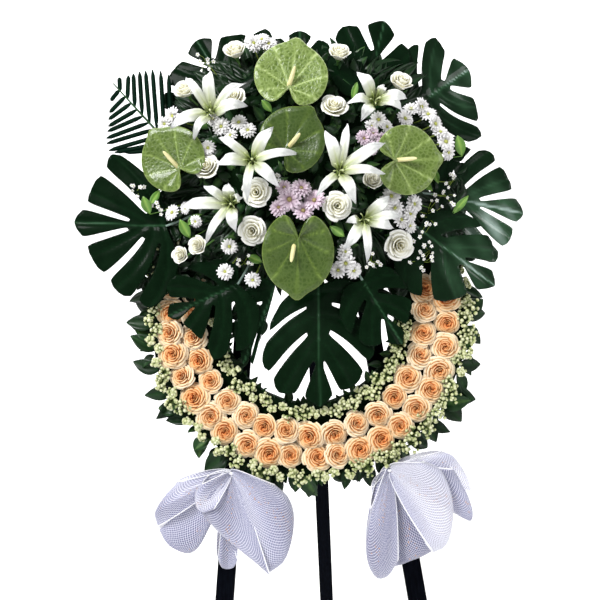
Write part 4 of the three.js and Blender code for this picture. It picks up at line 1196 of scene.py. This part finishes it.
for across, down, count in DARK_PATCHES:
    for _ in range(count):
        at = seen(rng.uniform(*across), rng.uniform(*down), -50)
        at[1] = leaf_depth(at[0], at[2], rng.uniform(2, 12), 0)
        a = rng.uniform(0, 2 * math.pi)
        reach = rng.uniform(24, 44) * np.array([math.cos(a), rng.uniform(-0.12, 0.12), math.sin(a)])
        forms.append(backing_leaf(at - reach / 2, at + reach / 2, (9, 14), 0.5))
finish_piece("backing_leaves", gather(forms), "leaf", RING_LEAF)

# %% [markdown]
# Filler flowers are sprays of tiny round buds in pale green and cream. One knobbly lump would hold
# no shadow between its buds, so one bud, a dented ball of a few dozen faces, is copied round each
# knob of the spray, at the ring's outer and inner edge.

# %% Filler flowers
# each edge: first angle, span of a part, radius, zigzag, knobs, knob size, parts
SPRAYS = {"outer": (150, 80, 337, 9, 20, 14.5, PARTS_OF_RING),
          "inner": (180, 90, 206, -6, 14, 12.5, ("left", "right"))}
BUDS = 24
bud = primitive_form(bpy.ops.mesh.primitive_uv_sphere_add, segments=7, ring_count=5, radius=1)
bud.points[bud.points[:, 2] > 0.5] *= 0.82
bud.marks["tone"] = np.clip(0.55 + 0.45 * bud.points[:, 2], 0, 1)
for side, (start, span, radius, zigzag, knobs, size, parts) in SPRAYS.items():
    for k, part in enumerate(parts):
        forms = []
        for i in range(knobs):
            angle = start + span * (k + (i + 0.5) / knobs) + rng.uniform(-0.8, 0.8)
            far = radius + (zigzag if i % 2 else -0.4 * zigzag) + rng.uniform(-3, 3)
            heart = polar(angle, far, -36)
            forms.append(tube([polar(angle, far, RING_FRONT - 1), heart], [2.2, 3], 5, tone=0.0))
            size_here = size * rng.choice((0.6, 0.95, 1.1, 1.25))
            for _ in range(BUDS):
                way = unit([rng.gauss(0, 1), -abs(rng.gauss(0.5, 0.7)), rng.gauss(0, 1)])
                spot = heart + way * size_here * rng.uniform(0.5, 1.2) * np.array([1.1, 0.8, 1.1])
                grow = facing(spot, way, rng.uniform(0, 6), rng.uniform(2.8, 4.7))
                tone = np.clip(bud.marks["tone"] + rng.uniform(-0.12, 0.1), 0, 1)
                forms.append(placed(bud, grow, {"tone": tone}))
                forms.append(tube([heart, spot], [0.8, 0.7], 3, tone=0.1))
        finish_piece(f"florets_{side}_{part}", gather(forms), "filler", FLORET,
                     f"filler_{side}_{part}")

# %% [markdown]
# Between the big blooms stand young leaves and sprays of tiny white flowers on fine branching
# stems. They are too slight to matter for weight, so they are made here only.

# %% Young leaves and wax flowers
# each leaf: root, tip, half width in the picture, height; each spray: middle, reach
YOUNG_LEAVES = [((150, 214), (143, 197), 8, 60), ((190, 238), (180, 220), 8, 60),
                ((352, 100), (357, 82), 5, 60), ((462, 156), (458, 136), 9, 40),
                ((452, 214), (468, 196), 6, 50), ((352, 170), (360, 156), 6, 50),
                ((398, 250), (408, 234), 7, 50), ((432, 168), (438, 182), 6, 56),
                ((200, 214), (188, 224), 7, 50), ((262, 262), (248, 256), 7, 50),
                ((330, 226), (344, 236), 7, 52), ((420, 180), (432, 190), 6, 50),
                ((160, 190), (150, 204), 6, 50), ((272, 112), (262, 100), 6, 54)]
WAX_SPRAYS = [((428, 214), 14), ((446, 196), 13), ((452, 182), 8), ((420, 236), 12),
              ((421, 262), 12), ((372, 262), 9), ((206, 62), 9), ((136, 190), 8), ((430, 250), 10),
              ((160, 210), 9), ((276, 178), 6), ((244, 262), 9)]
YOUNG_LEAF_RISE = 22
SPRAY_TWIGS = 7
forms = []
for low, high, half, lift in YOUNG_LEAVES:
    root = over_bed(*low, lift - YOUNG_LEAF_RISE)
    forms.append(laid(round_leaf, root, over_bed(*high, lift), half * PIXEL * 0.62))
    forms.append(stem_to_bed(root, 1.0, tone=0.3))
finish_piece("young_leaves", gather(forms), "leaf", BRIGHT_LEAF)


def wax_petal(a):
    def shape(s, t):
        half = 0.42 * np.sin(math.pi * (0.12 + 0.8 * t))
        return spoke(a, 0.1 + 0.9 * t, half * s, 0.35 * t)
    return sheet_form(2, 3, shape, tone=lambda s, t: 0.3 + 0.7 * t)


blossom = gather([thickened(gather([wax_petal(2 * math.pi * i / 5) for i in range(5)]), 0.08),
                  tube([[0, 0, -0.5], [0, 0, 0.15]], [0.12, 0.24], 5, tone=0.15)])
forms = []
for (u, v), reach in WAX_SPRAYS:
    joint = over_bed(u, v, 20)
    forms.append(stem_to_bed(joint, 1.0, tone=0.0))
    for _ in range(SPRAY_TWIGS):
        end = over_bed(u + rng.uniform(-reach, reach), v + rng.uniform(-reach, reach),
                       rng.uniform(34, 52))
        bent = (joint + end) / 2 + np.array([rng.uniform(-4, 4), 5, rng.uniform(-4, 4)])
        forms.append(tube(smooth([joint, bent, end], 5), 0.55, 4, tone=0.0))
        way = leaning(0.7)
        forms.append(placed(blossom, facing(end, way, rng.uniform(0, 6), rng.uniform(3.4, 5.2))))
finish_piece("wax_flowers", gather(forms), "daisy", DAISY)

# %% [markdown]
# The ribbon is open net, mostly air. Real holes would need millions of faces, so the material
# draws the slanting threads from two painted lengths and lets light through between them. White
# cords stiffen both edges, and a few gilt sparks lie along the middle.

# %% Ribbon material
NET_CELL = 0.0062
THREAD = 0.1
EDGE_FROM = 0.965
SPARK_STRIPE = 0.2


def ribbon_material():
    material = new_material("open mesh ribbon", {"Roughness": 0.38, "Sheen Weight": 0.5})
    tree = material.node_tree
    white = mark_value(tree, "white")
    threads = []
    for sign in (1, -1):
        slanted = maths(tree, "ADD", mark_value(tree, "across"),
                        maths(tree, "MULTIPLY", mark_value(tree, "along"), sign))
        wave = maths(tree, "PINGPONG", maths(tree, "DIVIDE", slanted, NET_CELL), 0.5)
        threads.append(maths(tree, "LESS_THAN", wave, THREAD))
    net = maths(tree, "MAXIMUM", *threads)
    edge = maths(tree, "GREATER_THAN", mark_value(tree, "edge"), EDGE_FROM)
    solid_part = maths(tree, "MAXIMUM", maths(tree, "MULTIPLY", net, 0.85), edge)
    # Less white gives a denser, darker violet film. Where the white mark carries painted shade, this
    # paints the shade of folds and of loops in shadow.
    film = maths(tree, "MULTIPLY_ADD", white, -0.34, 0.7)
    tint = ramp_of(tree, white, [(0.0, (0.1, 0.105, 0.24)), (0.5, (0.27, 0.28, 0.47)),
                                 (1.0, (0.62, 0.62, 0.74))])
    threaded = blended(tree, maths(tree, "MAXIMUM", maths(tree, "MULTIPLY", net, 0.8), edge), tint,
                       (0.86, 0.86, 0.95, 1))
    where = add_node(tree, "TexCoord").outputs["Object"]
    glint = add_node(tree, "TexNoise", {"Vector": where, "Scale": 260}).outputs["Fac"]
    stripe = maths(tree, "LESS_THAN", mark_value(tree, "edge"), SPARK_STRIPE)
    sparks = maths(tree, "MULTIPLY", stripe, maths(tree, "GREATER_THAN", glint, 0.66))
    wired(shader_of(material), {"Alpha": maths(tree, "MAXIMUM", solid_part, film),
                                "Base Color": blended(tree, sparks, threaded, (0.62, 0.34, 0.16, 1))})
    return material


RIBBON = ribbon_material()
CORD = plant_material("white edge cord", [(0.0, (0.86, 0.86, 0.93)), (1.0, (0.95, 0.95, 0.98))],
                      dark=0.85, grain=900)
print("ribbon cell:", NET_CELL * 1000, "mm")

# %% [markdown]
# Each bow is wide ribbon, gathered at a knot and thrown into big loops. Cloth simulation would
# hang it in loops of its own choice, so each loop is one strip laid one by one: out from the knot to
# the fold line that the picture shows, round it, and back, full where it opens.

# %% Bows
BOW_DEPTH = -34
KNOTS = {"left": (231, 473), "right": (389, 470)}
# each loop: its fold line, how far it puffs out, its depth, how white it is, partly its own paleness and
# partly painted shade
FOLDS = {
    "left": [([(178, 481), (163, 498), (155, 512), (157, 527)], 16, 8, 0.36),
             ([(158, 529), (170, 545), (190, 553), (203, 540), (207, 521)], 10, 16, 0.12),
             ([(218, 556), (222, 567), (232, 569), (238, 558)], 4, 22, 0.2),
             ([(199, 508), (214, 528), (232, 544), (252, 560), (271, 575)], 20, -8, 0.16),
             ([(268, 574), (284, 560), (292, 538), (294, 515), (288, 497), (274, 484)], 24, 0, 0.34),
             ([(203, 483), (195, 494), (196, 506), (203, 512), (214, 508)], 14, -26, 0.6)],
    "right": [([(372, 487), (373, 500), (380, 507)], 8, 14, 0.25),
              ([(441, 451), (453, 456), (466, 474), (472, 492)], 8, 12, 0.97),
              ([(394, 567), (406, 562), (424, 555), (442, 545)], 10, 16, 0.0),
              ([(371, 507), (366, 535), (367, 560), (376, 578), (388, 576), (398, 560)], 22, -4, 0.24),
              ([(452, 468), (464, 486), (472, 508), (470, 520), (461, 516)], 12, 4, 0.12),
              ([(433, 552), (447, 545), (453, 522), (451, 495), (441, 470), (424, 461)], 26, -14, 0.97)],
}
RIBBON_ALONG = 44
RIBBON_ACROSS = 16
GATHERED_SHARE = 0.05
OPENING = 0.72
FOLD_SHADE = 0.34
WIRE_ROOT = 340


def ribbon_loop(knot, fold, puff, depth, white):
    """Out from the knot to the fold line, round it, and back behind."""
    rim = smooth([seen(u, v, BOW_DEPTH + depth) for u, v in fold], RIBBON_ACROSS + 1)
    middle_of_rim = rim.mean(axis=0)
    phase = rng.uniform(0, 6)
    chord = unit(rim[-1] - rim[0])

    def shape(s, t):
        k = np.clip(np.round((s + 1) / 2 * RIBBON_ACROSS), 0, RIBBON_ACROSS).astype(int)
        open_up = np.sin(math.pi * np.clip(t, 0, 1))
        far = ((1 - np.cos(2 * math.pi * t)) / 2) ** 0.85
        behind = t > 0.5
        swing = np.sin(2 * math.pi * t) * open_up ** 0.3
        opened = mix(GATHERED_SHARE, 1, far ** OPENING)
        spot = knot + (middle_of_rim - knot) * far[:, None]
        spot = spot + (rim[k] - middle_of_rim) * opened[:, None]
        spot = spot + chord * (np.where(behind, 9, 0) * swing)[:, None]
        pleat = 3.4 * np.cos(5 * math.pi * s + phase) * (1 - far) * open_up ** 0.3
        crumple = 5.2 * np.sin(3.1 * s + 8 * t + phase) + 3.1 * np.sin(13 * t - 5 * s + phase)
        spot[:, 1] += -np.where(behind, 0.6, 1) * puff * swing + pleat + crumple * open_up * far
        return spot.T
    width = np.linalg.norm(np.diff(rim, axis=0), axis=1).sum() * 0.001
    run = 2 * np.linalg.norm(middle_of_rim - knot) * 0.001
    # The white mark adds FOLD_SHADE bands of painted shade across the loop, darker and paler in turn, to
    # the loop's own whiteness.
    return sheet_form(RIBBON_ACROSS, RIBBON_ALONG, shape, edge=lambda s, t: np.abs(s),
                      across=lambda s, t: s * width / 2, along=lambda s, t: t * run,
                      white=lambda s, t: np.clip(
                          white + FOLD_SHADE * np.sin(2.6 * s + 7 * t + phase), 0, 1))


for part, knot in KNOTS.items():
    middle = seen(*knot, BOW_DEPTH)
    strips = [ribbon_loop(middle, *fold) for fold in FOLDS[part]]
    thick = 0.35 + 0.65 * np.sin(math.pi * np.linspace(0, 1, RIBBON_ALONG + 1)) ** 0.7
    cords = []
    for strip in strips:
        grid = strip.points.reshape(-1, RIBBON_ACROSS + 1, 3)
        cords += [tube(grid[:, column], thick, 5, tone=0.8) for column in (0, RIBBON_ACROSS)]
    root = WIRE_ROOT * unit(middle * [1, 0, 1]) + [0, 12, 0]
    cords.append(tube(smooth([root, middle + [0, 30, 6], middle], 7), 2.2, 6, tone=0.1))
    cords.append(tube(smooth([middle + [-7, 2, 1], middle + [0, -3, 0], middle + [7, 2, -1]], 9),
                      [1.5, 2.5, 3, 3.5, 3.5, 3.5, 3, 2.5, 1.5], 12, tone=0.0))
    ribbon = gather(strips)
    cloth = finish_piece(f"bow_ribbon_{part}", thickened(ribbon, 0.5), "ribbon", RIBBON,
                         f"bow_{part}")
    trim = finish_piece(f"bow_cords_{part}", gather(cords), "ribbon", CORD)

# %% [markdown]
# The stand and the foam ring keep their solids. The slats are wood under black paint: nearly
# smooth, with the grain just showing and a dull gloss. Noise stretched upwards makes it.

# %% Stand and foam
BLACK_PAINT = new_material("black painted slat", {"Specular IOR Level": 0.06, "IOR": LOW_IOR})
tree = BLACK_PAINT.node_tree
stretched = add_node(tree, "Mapping", {"Vector": add_node(tree, "TexCoord").outputs["Object"],
                                       "Scale": (90, 90, 6)}).outputs["Vector"]
wood = add_node(tree, "TexNoise", {"Vector": stretched, "Scale": 3, "Detail": 6}).outputs["Fac"]
worn = add_node(tree, "MapRange", {"Value": wood, "To Min": 0.32, "To Max": 0.62})
ridges = add_node(tree, "Bump", {"Strength": 0.25, "Distance": 0.001, "Height": wood})
wired(shader_of(BLACK_PAINT), {
    "Base Color": ramp_of(tree, wood, [(0.3, (0.001, 0.001, 0.002)), (0.7, (0.003, 0.004, 0.007))]),
    "Roughness": worn.outputs["Result"], "Normal": ridges.outputs["Normal"]})
KEPT = {"front_leg_left": BLACK_PAINT, "front_leg_right": BLACK_PAINT, "back_leg": BLACK_PAINT,
        "head_rail": BLACK_PAINT, "cross_rail": BLACK_PAINT, "ring_base": FOAM}
for node, material in KEPT.items():
    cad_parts[node].data.materials.clear()
    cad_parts[node].data.materials.append(material)
print("kept solids finished:", len(KEPT))

# %% New pieces
print("new pieces:", len(made))
